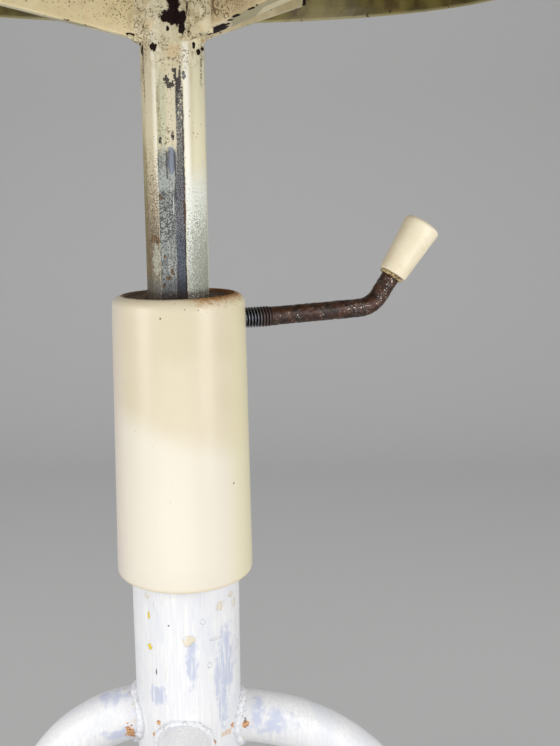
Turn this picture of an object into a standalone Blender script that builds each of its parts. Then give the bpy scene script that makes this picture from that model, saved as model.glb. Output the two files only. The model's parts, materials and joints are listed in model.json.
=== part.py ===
"""Height-adjustable pedestal stand with a round top and a bent clamp screw.

A white column on four bent tube legs carries a telescoping post inside a cream
sleeve. The post slides for height, turns on a guide shoe, and is held by a
clamp screw whose bent end carries a conical knob. Three folded arms join the
post to a round pressed top.

Metres, +Z up. The origin is where the column axis meets the floor, and +X is
the side that the clamp screw leaves on.
"""

import math

import bmesh
import bpy
from mathutils import Matrix, Vector

MM = 0.001
GAP = 0.3 * MM                      # space left between neighbouring pieces

# Heights above the floor
LEG_AXIS_Z = 240 * MM               # the legs leave the column here
SLEEVE_TOP_Z = 460 * MM
SLEEVE_BOTTOM_Z = SLEEVE_TOP_Z - 138 * MM
COLUMN_TOP_Z = SLEEVE_TOP_Z - 6.5 * MM
COLUMN_BOTTOM_Z = 128 * MM
CLAMP_Z = SLEEVE_TOP_Z - 15 * MM
RIM_BOTTOM_Z = SLEEVE_TOP_Z + 132.7 * MM
PAN_TOP_Z = RIM_BOTTOM_Z + 22.3 * MM
POST_BOTTOM_Z = 235 * MM

# Column, sleeve and bush
COLUMN_R = 26.4 * MM
COLUMN_WALL = 3.0 * MM
COLUMN_BORE_R = COLUMN_R - COLUMN_WALL
SLEEVE_TOP_R = 30.9 * MM
SLEEVE_BOTTOM_R = 33.2 * MM
SLEEVE_MOUTH_R = 26.0 * MM
SLEEVE_WALL = 3.0 * MM
SLEEVE_EDGE_R = 6.0 * MM
SLEEVE_LIP_FALL = 3.2 * MM          # how far the mouth drops from front to back
SLEEVE_LIP_LEAN = 1.2 * MM          # and from right to left
SLEEVE_COLLAR_DEPTH = 24 * MM
BUSH_LENGTH = 50 * MM
BUSH_FLANGE_T = 2.5 * MM

# Post
POST_R = 14.3 * MM
POST_WALL = 2.5 * MM
POST_FLAT_DEPTH = 1.3 * MM
POST_FLAT_TOP_Z = SLEEVE_TOP_Z + 102 * MM
POST_FLAT_RUNOUT = 14 * MM
POST_FLAT_AZIMUTH = math.radians(-92)
SHOE_BOTTOM_Z = POST_BOTTOM_Z + 10 * MM
SHOE_HEIGHT = 28 * MM

# Clamp screw
CLAMP_AZIMUTH = math.radians(17.5)
THREAD_R = 4.97 * MM
THREAD_ROOT_R = 4.08 * MM
THREAD_PITCH = 1.5 * MM
THREAD_END = 45.4 * MM              # distances from the column axis
ROD_R = 4.5 * MM
ROD_VERTEX = 97 * MM
ROD_LIFT = 1.5 * MM                 # the vertex above the thread's axis
ROD_BEND_R = 13 * MM
ROD_RISE = math.radians(56)
KNOB_START = 19.5 * MM              # along the rising part, from the vertex
KNOB_LENGTH = 30 * MM
KNOB_BASE_R = 7.15 * MM
KNOB_TOP_R = 9.25 * MM
CLAMP_BACKED_OFF = 1.2 * MM         # pad to post at rest
PAD_R = 4.0 * MM
PAD_T = 3.0 * MM

# Legs and feet
LEG_R = 13.45 * MM
LEG_WALL = 2.0 * MM
LEG_BEND_START = 16 * MM            # from the column axis
LEG_END_Z = 20 * MM
FOOT_CIRCLE_R = 190 * MM            # where the legs' centre lines meet the floor
LEG_AZIMUTHS = {"right": 5, "back": 94, "left": 183, "front": 269}
LEG_BEND_R = {"right": 102 * MM, "back": 80 * MM, "left": 64 * MM, "front": 80 * MM}
LEG_LIFT = {"right": -0.6 * MM, "back": 0.0, "left": 4 * MM, "front": -1 * MM}   # from LEG_AXIS_Z
FERRULE_TOP_R = 16.6 * MM
FERRULE_SOLE_R = 19.5 * MM
FERRULE_CUP = 26 * MM
WASHER_T = 1.5 * MM

# Top and arms
PAN_R = 159.6 * MM
PAN_T = 1.5 * MM
PAN_EDGE_R = 8 * MM
ARM_AZIMUTHS = {"left": 188, "back": 62, "front": -41}   # not evenly spaced
ARM_WIDTH = 12 * MM
ARM_WALL = 1.5 * MM
ARM_TIP = 120 * MM
ARM_BOTTOM_Z = SLEEVE_TOP_Z + 107.4 * MM                 # extended to the axis
ARM_SLOPE = 0.24
TOP_SCREW_AT = 105 * MM
TOP_SCREW_R = 2.2 * MM


# ---------------------------------------------------------------- scene tools

def clear_scene():
    for obj in list(bpy.data.objects):
        bpy.data.objects.remove(obj, do_unlink=True)


def new_collection(name):
    collection = bpy.data.collections.new(name)
    bpy.context.scene.collection.children.link(collection)
    return collection


clear_scene()
PARTS = new_collection("pedestal_stand")
CUTTERS = new_collection("cutters")


def paint(obj, color, roughness, metallic=0.0):
    """Give an object its own Principled material."""
    mat = bpy.data.materials.new(obj.name + "_material")
    mat.use_nodes = True
    shader = mat.node_tree.nodes["Principled BSDF"]
    shader.inputs["Base Color"].default_value = (*color, 1.0)
    shader.inputs["Roughness"].default_value = roughness
    shader.inputs["Metallic"].default_value = metallic
    obj.data.materials.clear()
    obj.data.materials.append(mat)
    return obj


def add_mesh(name, bm, collection):
    mesh = bpy.data.meshes.new(name)
    bm.to_mesh(mesh)
    bm.free()
    obj = bpy.data.objects.new(name, mesh)
    collection.objects.link(obj)
    return obj


def smooth(obj, angle=35):
    obj.data.shade_smooth()
    obj.data.set_sharp_from_angle(angle=math.radians(angle))
    return obj


def cutter(obj):
    obj.hide_render = True
    obj.display_type = "WIRE"
    return obj


def combine(obj, other, operation="DIFFERENCE"):
    """Add an exact Boolean of another object to this one."""
    mod = obj.modifiers.new(operation.lower() + "_" + other.name, "BOOLEAN")
    mod.operation = operation
    mod.solver = "EXACT"
    mod.object = other
    return obj


# ---------------------------------------------------------------- shape tools

def turned(name, profile, segments=36, collection=PARTS, ring=False):
    """Turn (radius, z) points about Z; a ring's profile closes on itself."""
    bm = bmesh.new()
    verts = [bm.verts.new((r, 0.0, z)) for r, z in profile]
    pairs = list(zip(verts, verts[1:]))
    if ring:
        pairs.append((verts[-1], verts[0]))
    for a, b in pairs:
        bm.edges.new((a, b))
    obj = add_mesh(name, bm, collection)
    mod = obj.modifiers.new("turn", "SCREW")
    mod.axis = "Z"
    mod.angle = math.tau
    mod.steps = segments
    mod.render_steps = segments
    mod.use_merge_vertices = True
    mod.merge_threshold = 0.00001
    mod.use_smooth_shade = True
    return obj


def ring_profile(inner, outer, bottom, top):
    """A rectangular section, down the outer side and up the bore."""
    return [(inner, top), (outer, top), (outer, bottom), (inner, bottom)]


def cylinder(name, radius, z0, z1, segments=32, collection=PARTS):
    bm = bmesh.new()
    bmesh.ops.create_cone(bm, cap_ends=True, segments=segments, radius1=radius,
                          radius2=radius, depth=z1 - z0)
    bmesh.ops.translate(bm, verts=bm.verts, vec=(0, 0, (z0 + z1) / 2))
    return smooth(add_mesh(name, bm, collection))


def radial_cylinder(name, radius, start, end, azimuth, z, segments=20,
                    collection=PARTS):
    """A level cylinder from radius start to radius end at one azimuth."""
    obj = cylinder(name, radius, start, end, segments, collection)
    obj.data.transform(Matrix.Rotation(math.pi / 2, 4, "Y"))
    obj.location = (0, 0, z)
    obj.rotation_euler = (0, 0, azimuth)
    return obj


def wedge(name, x0, x1, width, bottom, top, collection=PARTS):
    """A box along X whose lower side follows bottom(x)."""
    bm = bmesh.new()
    bmesh.ops.create_cube(bm, size=1.0)
    for vert in bm.verts:
        x = x0 if vert.co.x < 0 else x1
        z = bottom(x) if vert.co.z < 0 else top
        vert.co = (x, math.copysign(width / 2, vert.co.y), z)
    return add_mesh(name, bm, collection)


def rod(name, points, radius, around=12, collection=PARTS):
    """A round bar along points, as a closed mesh."""
    curve = bpy.data.curves.new(name + "_curve", "CURVE")
    curve.dimensions = "3D"
    curve.bevel_depth = radius
    curve.bevel_resolution = (around - 4) // 2
    curve.use_fill_caps = True
    spline = curve.splines.new("POLY")
    spline.points.add(len(points) - 1)
    for target, point in zip(spline.points, points):
        target.co = (*point, 1.0)
    source = bpy.data.objects.new(name + "_curve", curve)
    collection.objects.link(source)
    depsgraph = bpy.context.evaluated_depsgraph_get()
    mesh = bpy.data.meshes.new_from_object(source.evaluated_get(depsgraph))
    bm = bmesh.new()
    bm.from_mesh(mesh)
    bmesh.ops.remove_doubles(bm, verts=bm.verts, dist=0.00001)
    bm.to_mesh(mesh)
    bm.free()
    obj = bpy.data.objects.new(name, mesh)
    obj.matrix_world = source.matrix_world
    collection.objects.link(obj)
    bpy.data.objects.remove(source, do_unlink=True)
    return smooth(obj)


def arc(center, radius, start, end, steps):
    """(x, z) points on an arc, angles in radians from +X towards +Z."""
    angles = [start + (end - start) * i / steps for i in range(steps + 1)]
    return [(center[0] + radius * math.cos(a), center[1] + radius * math.sin(a))
            for a in angles]


# ------------------------------------------------------------- column and feet

def build_column():
    column = turned("column_tube", ring_profile(COLUMN_BORE_R, COLUMN_R,
                                                COLUMN_BOTTOM_Z, COLUMN_TOP_Z), ring=True)
    combine(column, CLAMP_HOLE)
    for hole in LOCK_HOLES:
        combine(column, hole)
    paint(column, (0.79, 0.80, 0.85), 0.5)

    head_t = 3 * MM
    plug_depth = 14 * MM
    top = COLUMN_BOTTOM_Z - GAP
    plug_r = COLUMN_BORE_R - GAP
    plug = turned("column_end_plug", [
        (0, top - 1 * MM), (plug_r - 3 * MM, top - 1 * MM), (plug_r - 3 * MM, top + plug_depth),
        (plug_r, top + plug_depth), (plug_r, top), (COLUMN_R, top),
        (COLUMN_R - 1 * MM, top - head_t), (0, top - head_t)])
    paint(plug, (0.02, 0.02, 0.022), 0.6)


def leg_shape(side):
    """Bend centre (x, z), bend radius, and how far the leg turns down from level.

    The straight part is the tangent from the bend to the foot's point on the floor.
    """
    radius = LEG_BEND_R[side]
    center = Vector((LEG_BEND_START, LEG_AXIS_Z + LEG_LIFT[side] - radius))
    to_foot = Vector((FOOT_CIRCLE_R, 0.0)) - center
    tangent_angle = math.atan2(to_foot.y, to_foot.x) + math.acos(radius / to_foot.length)
    return center, radius, math.pi / 2 - tangent_angle


def leg_path(side, overrun=0.0):
    """Centre line of a leg in its own XZ plane, from inside the column out."""
    center, radius, turn = leg_shape(side)
    bend = arc(center, radius, math.pi / 2, math.pi / 2 - turn, 7)
    end_z = LEG_END_Z - overrun * math.sin(turn)
    x, z = bend[-1]
    foot = (x + (z - end_z) / math.tan(turn), end_z)
    return [(-overrun, 0, center.y + radius)] + [(px, 0, pz) for px, pz in bend + [foot]]


def foot_frame(side, azimuth):
    """Place of a leg's lower end: local +Z runs back up the leg."""
    turn = leg_shape(side)[2]
    return (Matrix.Rotation(azimuth, 4, "Z") @ Matrix.Translation(leg_path(side)[-1])
            @ Matrix.Rotation(turn - math.pi / 2, 4, "Y"))


def build_leg(side, azimuth):
    leg = rod("leg_" + side, leg_path(side), LEG_R, around=16)
    bore = cutter(rod("leg_bore_" + side, leg_path(side, 20 * MM), LEG_R - LEG_WALL,
                      around=12, collection=CUTTERS))
    for obj in (leg, bore):
        obj.rotation_euler = (0, 0, azimuth)
    combine(leg, bore)
    combine(leg, LEG_COPE)
    paint(leg, (0.79, 0.80, 0.85), 0.5)


def build_foot(side, azimuth):
    place = foot_frame(side, azimuth)
    washer = cylinder("foot_washer_" + side, LEG_R - 0.5 * MM,
                      -GAP - WASHER_T, -GAP, segments=24)
    washer.matrix_world = place
    paint(washer, (0.45, 0.45, 0.46), 0.4, 1.0)

    cup_r = LEG_R + GAP
    floor_s = -2 * GAP - WASHER_T
    lip = 1.2 * MM
    ferrule = turned("foot_ferrule_" + side, [
        (0, floor_s), (cup_r, floor_s), (cup_r, FERRULE_CUP),
        (FERRULE_TOP_R - lip, FERRULE_CUP), (FERRULE_TOP_R, FERRULE_CUP - lip),
        (FERRULE_TOP_R + 0.6 * MM, 6 * MM), (FERRULE_SOLE_R, 0),
        (FERRULE_SOLE_R, -40 * MM), (0, -40 * MM)], segments=24)
    ferrule.matrix_world = place
    combine(ferrule, FLOOR_CUT)
    paint(ferrule, (0.03, 0.03, 0.032), 0.75)


# ------------------------------------------------------------- sleeve and bush

def sleeve_outer_r(z):
    part = (SLEEVE_TOP_Z - z) / (SLEEVE_TOP_Z - SLEEVE_BOTTOM_Z)
    return SLEEVE_TOP_R + (SLEEVE_BOTTOM_R - SLEEVE_TOP_R) * part


def slope_mouth(obj):
    """Let the sleeve's rounded mouth fall a little towards the back and the left."""
    depsgraph = bpy.context.evaluated_depsgraph_get()
    mesh = bpy.data.meshes.new_from_object(obj.evaluated_get(depsgraph))
    obj.modifiers.clear()
    obj.data = mesh
    base = COLUMN_TOP_Z + 0.5 * MM
    for vert in mesh.vertices:
        share = max(0.0, (vert.co.z - base) / (SLEEVE_TOP_Z - base))
        fall = SLEEVE_LIP_FALL / 2 * (1 + vert.co.y / SLEEVE_TOP_R)
        lean = SLEEVE_LIP_LEAN / 2 * (1 - vert.co.x / SLEEVE_TOP_R)
        vert.co.z -= share * max(0.0, fall + lean - SLEEVE_LIP_LEAN / 2)


def build_sleeve():
    round_center = SLEEVE_TOP_R - SLEEVE_EDGE_R
    mouth_angle = math.acos((SLEEVE_MOUTH_R - round_center) / SLEEVE_EDGE_R)
    edge = arc((round_center, SLEEVE_TOP_Z - SLEEVE_EDGE_R), SLEEVE_EDGE_R, mouth_angle, 0, 4)
    foot_round = 1.5 * MM
    bottom = SLEEVE_BOTTOM_Z
    collar_r = COLUMN_R + GAP
    collar_bottom = SLEEVE_TOP_Z - SLEEVE_COLLAR_DEPTH
    shoulder = 4 * MM
    mouth_bottom = COLUMN_TOP_Z + GAP
    profile = edge + [
        (sleeve_outer_r(bottom + foot_round), bottom + foot_round),
        (SLEEVE_BOTTOM_R - foot_round * 0.5, bottom),
        (SLEEVE_BOTTOM_R - SLEEVE_WALL, bottom),
        (sleeve_outer_r(collar_bottom) - SLEEVE_WALL, collar_bottom - shoulder),
        (collar_r, collar_bottom),
        (collar_r, mouth_bottom),
        (SLEEVE_MOUTH_R, mouth_bottom),
    ]
    sleeve = turned("sleeve_cover", profile, segments=40, ring=True)
    slope_mouth(sleeve)
    combine(sleeve, CLAMP_HOLE)
    paint(sleeve, (0.84, 0.73, 0.54), 0.25)

    spacer_z = SLEEVE_BOTTOM_Z + 8 * MM
    spacer_outer = sleeve_outer_r(spacer_z + 8 * MM) - SLEEVE_WALL - GAP
    spacer = turned("sleeve_spacer", ring_profile(COLUMN_R + GAP, spacer_outer, spacer_z,
                                                  spacer_z + 8 * MM), ring=True)
    paint(spacer, (0.05, 0.05, 0.05), 0.8)


def build_bush():
    flange_bottom = COLUMN_TOP_Z + GAP
    flange_top = flange_bottom + BUSH_FLANGE_T
    body_r = COLUMN_BORE_R - GAP
    bore_r = POST_R + GAP
    chamfer = 0.8 * MM
    bush = turned("guide_bush", [
        (bore_r + chamfer, flange_top), (SLEEVE_MOUTH_R - GAP, flange_top),
        (SLEEVE_MOUTH_R - GAP, flange_bottom), (body_r, flange_bottom),
        (body_r, flange_top - BUSH_LENGTH), (bore_r, flange_top - BUSH_LENGTH),
        (bore_r, flange_top - chamfer)], ring=True)
    combine(bush, TAPPED_HOLE)
    for hole in LOCK_HOLES:
        combine(bush, hole)
    paint(bush, (0.16, 0.10, 0.07), 0.6, 0.6)


def build_lock_screws():
    for number, azimuth in enumerate(LOCK_AZIMUTHS, start=1):
        screw = radial_cylinder("bush_lock_screw_%d" % number, LOCK_HOLE_R - GAP,
                                POST_R + 2 * MM, COLUMN_R - 0.3 * MM, azimuth, LOCK_Z, 12)
        paint(screw, (0.35, 0.34, 0.33), 0.45, 1.0)


# ------------------------------------------------------------------------ post

def build_post():
    post = turned("post_tube", ring_profile(POST_R - POST_WALL, POST_R,
                                            POST_BOTTOM_Z, POST_TOP_Z), ring=True)
    combine(post, post_flat_cutter())
    groove = turned("clip_groove", ring_profile(POST_R - 1 * MM, POST_R + 3 * MM,
                                                CLIP_Z, CLIP_Z + 1.6 * MM),
                    collection=CUTTERS, ring=True)
    combine(post, cutter(groove))
    paint(post, (0.68, 0.62, 0.43), 0.4)

    plug_r = POST_R - POST_WALL - GAP
    plug = turned("post_top_plug", [
        (0, PLUG_TOP_Z), (POST_R, PLUG_TOP_Z), (POST_R, POST_TOP_Z + GAP),
        (plug_r, POST_TOP_Z + GAP), (plug_r - 1 * MM, POST_TOP_Z - 15 * MM),
        (0, POST_TOP_Z - 15 * MM)], segments=32)
    paint(plug, (0.62, 0.55, 0.38), 0.5)


def post_flat_cutter():
    """A box that mills one flat down the post, shallower over its run-out."""
    flat = POST_R - POST_FLAT_DEPTH
    outside = POST_R + 5 * MM
    levels = [(SHOE_BOTTOM_Z + SHOE_HEIGHT + 12 * MM, flat),
              (POST_FLAT_TOP_Z - POST_FLAT_RUNOUT, flat),
              (POST_FLAT_TOP_Z, POST_R + 0.05 * MM)]
    bm = bmesh.new()
    bmesh.ops.create_cube(bm, size=1.0)
    bmesh.ops.bisect_plane(bm, geom=bm.verts[:] + bm.edges[:] + bm.faces[:],
                           plane_co=(0, 0, 0), plane_no=(0, 0, 1))
    for vert in bm.verts:
        level = levels[0 if vert.co.z < -0.25 else 2 if vert.co.z > 0.25 else 1]
        x = level[1] if vert.co.x < 0 else outside
        vert.co = (x, math.copysign(POST_R, vert.co.y), level[0])
    obj = add_mesh("post_flat", bm, CUTTERS)
    obj.rotation_euler = (0, 0, POST_FLAT_AZIMUTH)
    return cutter(obj)


def build_shoe():
    shoe_r = COLUMN_BORE_R - GAP
    bore_r = POST_R + GAP
    top = SHOE_BOTTOM_Z + SHOE_HEIGHT
    waist = 1.5 * MM
    land = 7 * MM
    shoe = turned("post_guide_shoe", [
        (bore_r, top), (shoe_r, top), (shoe_r, top - land), (shoe_r - waist, top - land - waist),
        (shoe_r - waist, SHOE_BOTTOM_Z + land + waist), (shoe_r, SHOE_BOTTOM_Z + land),
        (shoe_r, SHOE_BOTTOM_Z), (bore_r, SHOE_BOTTOM_Z)], ring=True)
    paint(shoe, (0.70, 0.68, 0.60), 0.4)

    collar = turned("shoe_collar", ring_profile(POST_R + GAP, POST_R + 4 * MM, top + GAP,
                                                top + GAP + 6 * MM), segments=32, ring=True)
    paint(collar, (0.40, 0.39, 0.38), 0.4, 1.0)

    clip = turned("shoe_clip", ring_profile(POST_R - 1 * MM + GAP, POST_R + 3.5 * MM,
                                            CLIP_Z + 0.3 * MM, CLIP_Z + 1.3 * MM),
                  segments=32, ring=True)
    paint(clip, (0.12, 0.12, 0.13), 0.35, 1.0)


# ----------------------------------------------------------------- clamp screw

def clamp_axis():
    """An empty on the clamp axis, with local +X pointing out of the column."""
    empty = bpy.data.objects.new("clamp_axis", None)
    empty.location = (0, 0, CLAMP_Z)
    empty.rotation_euler = (0, 0, CLAMP_AZIMUTH)
    PARTS.objects.link(empty)
    return empty


def thread_profile(start, end):
    """Ridges of the thread as (radius, distance) points, far end first."""
    points = [(0, end), (ROD_R + 0.1 * MM, end), (ROD_R + 0.1 * MM, end - 1.0 * MM)]
    crest = end - 1.0 * MM - THREAD_PITCH / 2
    while crest > start + THREAD_PITCH:
        points += [(THREAD_R, crest), (THREAD_ROOT_R, crest - THREAD_PITCH / 2)]
        crest -= THREAD_PITCH
    return points + [(THREAD_ROOT_R, start), (0, start)]


def along_x(obj, parent):
    """Lay an object made along Z along its parent's X axis."""
    obj.parent = parent
    obj.rotation_euler = (0, math.pi / 2, 0)
    return obj


def build_clamp():
    axis = clamp_axis()
    pad_start = POST_R + CLAMP_BACKED_OFF + GAP
    pad = along_x(cylinder("clamp_pad", PAD_R, pad_start, pad_start + PAD_T, 24), axis)
    paint(pad, (0.55, 0.40, 0.16), 0.35, 1.0)

    rise = Vector((math.cos(ROD_RISE), 0, math.sin(ROD_RISE)))
    vertex = Vector((ROD_VERTEX, 0, ROD_LIFT))
    bend_start = ROD_VERTEX - ROD_BEND_R * math.tan(ROD_RISE / 2)
    bend = arc((bend_start, ROD_LIFT + ROD_BEND_R), ROD_BEND_R,
               -math.pi / 2, -math.pi / 2 + ROD_RISE, 5)
    rod_end = vertex + rise * (KNOB_START + KNOB_LENGTH * 0.6)
    path = [(THREAD_END - 0.6 * MM, 0, 0)] + [(x, 0, z) for x, z in bend] + [tuple(rod_end)]
    screw = rod("clamp_screw", path, ROD_R, around=12)
    screw.parent = axis
    thread = along_x(turned("clamp_thread", thread_profile(pad_start + PAD_T + GAP, THREAD_END),
                            segments=12, collection=CUTTERS), axis)
    combine(screw, cutter(thread), "UNION")
    paint(screw, (0.10, 0.05, 0.035), 0.45, 0.7)

    build_knob(axis, vertex, rise)


def build_knob(axis, vertex, rise):
    """A conical knob with a bored socket, and a small ferrule at its base."""
    place = Matrix.Translation(vertex) @ rise.to_track_quat("Z", "Y").to_matrix().to_4x4()
    start = KNOB_START
    end = start + KNOB_LENGTH
    socket_r = ROD_R + GAP
    socket_end = start + KNOB_LENGTH * 0.6 + GAP
    edge = 2.2 * MM
    dome = [(0, end), (KNOB_TOP_R * 0.5, end - 0.2 * MM), (KNOB_TOP_R - edge, end - 0.8 * MM)]
    corner = arc((KNOB_TOP_R - edge, end - 0.8 * MM - edge), edge, math.pi / 2, 0, 3)[1:]
    knob = turned("clamp_knob", dome + corner + [
        (KNOB_BASE_R, start + 0.8 * MM), (KNOB_BASE_R - 0.8 * MM, start),
        (socket_r, start), (socket_r, socket_end), (0, socket_end)], segments=24)
    ring_t = 1.6 * MM
    ferrule = turned("knob_ferrule", ring_profile(
        socket_r, ROD_R + 1.5 * MM, start - GAP - ring_t, start - GAP), segments=24, ring=True)
    for obj in (knob, ferrule):
        obj.parent = axis
        obj.matrix_basis = place
    paint(knob, (0.91, 0.80, 0.61), 0.35)
    paint(ferrule, (0.45, 0.30, 0.16), 0.6)


# ---------------------------------------------------------------- top and arms

def arm_bottom(x):
    return ARM_BOTTOM_Z + ARM_SLOPE * x


def build_arm(side, azimuth):
    """A folded box arm, coped to the post and open at both ends."""
    arm = wedge("arm_" + side, 5 * MM, ARM_TIP, ARM_WIDTH, arm_bottom, ARM_TOP_Z)
    inside = wedge("arm_inside_" + side, -5 * MM, ARM_TIP + 10 * MM, ARM_WIDTH - 2 * ARM_WALL,
                   lambda x: arm_bottom(x) + ARM_WALL, ARM_TOP_Z - ARM_WALL, CUTTERS)
    for obj in (arm, cutter(inside)):
        obj.rotation_euler = (0, 0, azimuth)
    combine(arm, inside)
    combine(arm, POST_COPE)
    combine(arm, screw_hole(side, azimuth))
    paint(arm, (0.60, 0.51, 0.30), 0.5)


def screw_place(azimuth):
    return (TOP_SCREW_AT * math.cos(azimuth), TOP_SCREW_AT * math.sin(azimuth), 0)


SCREW_HOLES = {}


def screw_hole(side, azimuth):
    """The hole through the pan and the top wall of one arm."""
    if side not in SCREW_HOLES:
        hole = cylinder("screw_hole_" + side, TOP_SCREW_R + GAP, ARM_TOP_Z - 4 * MM,
                        PAN_TOP_Z + 4 * MM, 16, CUTTERS)
        hole.location = screw_place(azimuth)
        SCREW_HOLES[side] = cutter(hole)
    return SCREW_HOLES[side]


def build_pan():
    """A round pressed top with its rim turned down."""
    inner_edge = PAN_EDGE_R - PAN_T
    center = (PAN_R - PAN_EDGE_R, PAN_TOP_Z - PAN_EDGE_R)
    outer = arc(center, PAN_EDGE_R, math.pi / 2, 0, 4)
    inner = arc(center, inner_edge, 0, math.pi / 2, 3)
    profile = [(0, PAN_TOP_Z)] + outer + [(PAN_R, RIM_BOTTOM_Z), (PAN_R - PAN_T, RIM_BOTTOM_Z)]
    pan = turned("top_pan", profile + inner + [(0, PAN_TOP_Z - PAN_T)], segments=64)
    for side, degrees in ARM_AZIMUTHS.items():
        combine(pan, screw_hole(side, math.radians(degrees)))
    paint(pan, (0.60, 0.51, 0.30), 0.45)


def build_top_screw(side, azimuth):
    head_r = 4.6 * MM
    head_h = 2.4 * MM
    seat = PAN_TOP_Z + GAP
    screw = turned("top_screw_" + side, [
        (0, seat + head_h), (head_r * 0.6, seat + head_h - 0.3 * MM),
        (head_r, seat + head_h * 0.4), (head_r, seat), (TOP_SCREW_R, seat),
        (TOP_SCREW_R, ARM_TOP_Z - 7 * MM), (0, ARM_TOP_Z - 9 * MM)], segments=16)
    combine(screw, slot_cutter(side, azimuth, seat + head_h))
    screw.location = screw_place(azimuth)
    paint(screw, (0.50, 0.49, 0.47), 0.35, 1.0)


def slot_cutter(side, azimuth, top):
    """The driver slot across a screw head."""
    bm = bmesh.new()
    bmesh.ops.create_cube(bm, size=1.0)
    bmesh.ops.scale(bm, verts=bm.verts, vec=(12 * MM, 1.0 * MM, 2.0 * MM))
    obj = add_mesh("screw_slot_" + side, bm, CUTTERS)
    obj.location = Vector(screw_place(azimuth)) + Vector((0, 0, top))
    obj.rotation_euler = (0, 0, azimuth * 2)
    return cutter(obj)


# -------------------------------------------------------------- shared cutters

ARM_TOP_Z = PAN_TOP_Z - PAN_T - GAP
PLUG_TOP_Z = ARM_TOP_Z
POST_TOP_Z = PLUG_TOP_Z - 3.5 * MM
CLIP_Z = SHOE_BOTTOM_Z - 0.3 * MM - 1.6 * MM
LOCK_HOLE_R = 2.6 * MM
LOCK_Z = CLAMP_Z - 20 * MM
LOCK_AZIMUTHS = [CLAMP_AZIMUTH + math.radians(a) for a in (120, 240)]

CLAMP_HOLE = cutter(radial_cylinder("clamp_hole", THREAD_R + 0.7 * MM, COLUMN_BORE_R - 2 * MM,
                                    45 * MM, CLAMP_AZIMUTH, CLAMP_Z, 20, CUTTERS))
TAPPED_HOLE = cutter(radial_cylinder("tapped_hole", THREAD_R + GAP, POST_R - 4 * MM,
                                     45 * MM, CLAMP_AZIMUTH, CLAMP_Z, 20, CUTTERS))
LOCK_HOLES = [cutter(radial_cylinder("lock_hole_%d" % i, LOCK_HOLE_R, POST_R - 4 * MM,
                                     COLUMN_R + 4 * MM, a, LOCK_Z, 16, CUTTERS))
              for i, a in enumerate(LOCK_AZIMUTHS)]
LEG_COPE = cutter(cylinder("leg_cope", COLUMN_R + GAP, LEG_AXIS_Z - 60 * MM,
                           LEG_AXIS_Z + 60 * MM, 36, CUTTERS))
POST_COPE = cutter(cylinder("post_cope", POST_R + GAP, ARM_BOTTOM_Z - 40 * MM,
                            PAN_TOP_Z + 10 * MM, 36, CUTTERS))
FLOOR_CUT = cutter(cylinder("floor_cut", 400 * MM, -80 * MM, 0.0, 16, CUTTERS))

build_column()
for leg_side, leg_degrees in LEG_AZIMUTHS.items():
    build_leg(leg_side, math.radians(leg_degrees))
    build_foot(leg_side, math.radians(leg_degrees))
build_sleeve()
build_bush()
build_lock_screws()
build_post()
build_shoe()
build_clamp()
build_pan()
for arm_side, arm_degrees in ARM_AZIMUTHS.items():
    build_arm(arm_side, math.radians(arm_degrees))
    build_top_screw(arm_side, math.radians(arm_degrees))
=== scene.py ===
"""Looks of the pedestal stand: aged cream enamel, white repaint, rust and moulded plastic."""

import json
import math

import bmesh
import bpy
from mathutils import Matrix, Vector, noise


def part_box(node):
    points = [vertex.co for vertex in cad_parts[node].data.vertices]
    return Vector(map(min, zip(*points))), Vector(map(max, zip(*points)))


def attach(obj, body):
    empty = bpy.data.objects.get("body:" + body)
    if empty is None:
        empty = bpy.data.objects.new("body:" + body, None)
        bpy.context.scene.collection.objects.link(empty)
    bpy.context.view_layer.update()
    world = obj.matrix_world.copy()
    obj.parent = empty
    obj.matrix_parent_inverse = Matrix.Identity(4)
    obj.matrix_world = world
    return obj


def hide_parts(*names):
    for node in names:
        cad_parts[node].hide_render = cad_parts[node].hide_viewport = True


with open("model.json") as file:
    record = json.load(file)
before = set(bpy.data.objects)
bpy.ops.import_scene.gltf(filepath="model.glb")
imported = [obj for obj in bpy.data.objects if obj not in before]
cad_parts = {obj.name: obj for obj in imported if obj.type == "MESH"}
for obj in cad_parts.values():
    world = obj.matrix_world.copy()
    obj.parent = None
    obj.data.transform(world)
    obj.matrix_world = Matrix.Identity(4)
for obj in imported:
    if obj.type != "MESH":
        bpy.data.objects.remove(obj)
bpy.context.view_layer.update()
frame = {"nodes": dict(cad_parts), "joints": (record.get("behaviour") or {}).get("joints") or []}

MM = 0.001
NODES = frame["nodes"]


# -------------------------------------------------------------------------- sizes

def size(node):
    low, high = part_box(node)
    return high - low


def middle(node):
    low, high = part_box(node)
    return (low + high) / 2


SLEEVE_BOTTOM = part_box("sleeve_cover")[0].z
SLEEVE_TOP = SLEEVE_BOTTOM + 138 * MM
SLEEVE_TOP_R, SLEEVE_LOW_R = 30.9 * MM, 33.2 * MM
POST_R = size("post_tube").x / 2
POST_LOW, POST_HIGH = (corner.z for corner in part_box("post_tube"))
COLUMN_R = size("column_tube").x / 2
COLUMN_LOW, COLUMN_HIGH = (corner.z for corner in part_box("column_tube"))
PAN_R = size("top_pan").x / 2
PAN_EDGE_R = 8 * MM                # the rounded edge between the top and its rim
RIM_LOW, PAN_HIGH = (corner.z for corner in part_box("top_pan"))
JOINTS = {joint["name"]: joint for joint in frame["joints"]}
CLAMP_AXIS = Vector(JOINTS["clamp_turn"]["axis"])
CLAMP_Z = JOINTS["clamp_turn"]["pos_m"][2]
CLAMP_AZIMUTH = math.atan2(CLAMP_AXIS.y, CLAMP_AXIS.x)
CLAMP_HOLE_R, CLAMP_HOLE_FROM, CLAMP_HOLE_LONG = 5.67 * MM, 20 * MM, 30 * MM
THREAD_START, THREAD_END = 19.2 * MM, 45.4 * MM     # from the column's axis
ROD_RISE = math.radians(56)
ROD_VERTEX = Vector((97 * MM, 0, 1.5 * MM))         # where the rod's two lines would meet
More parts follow.
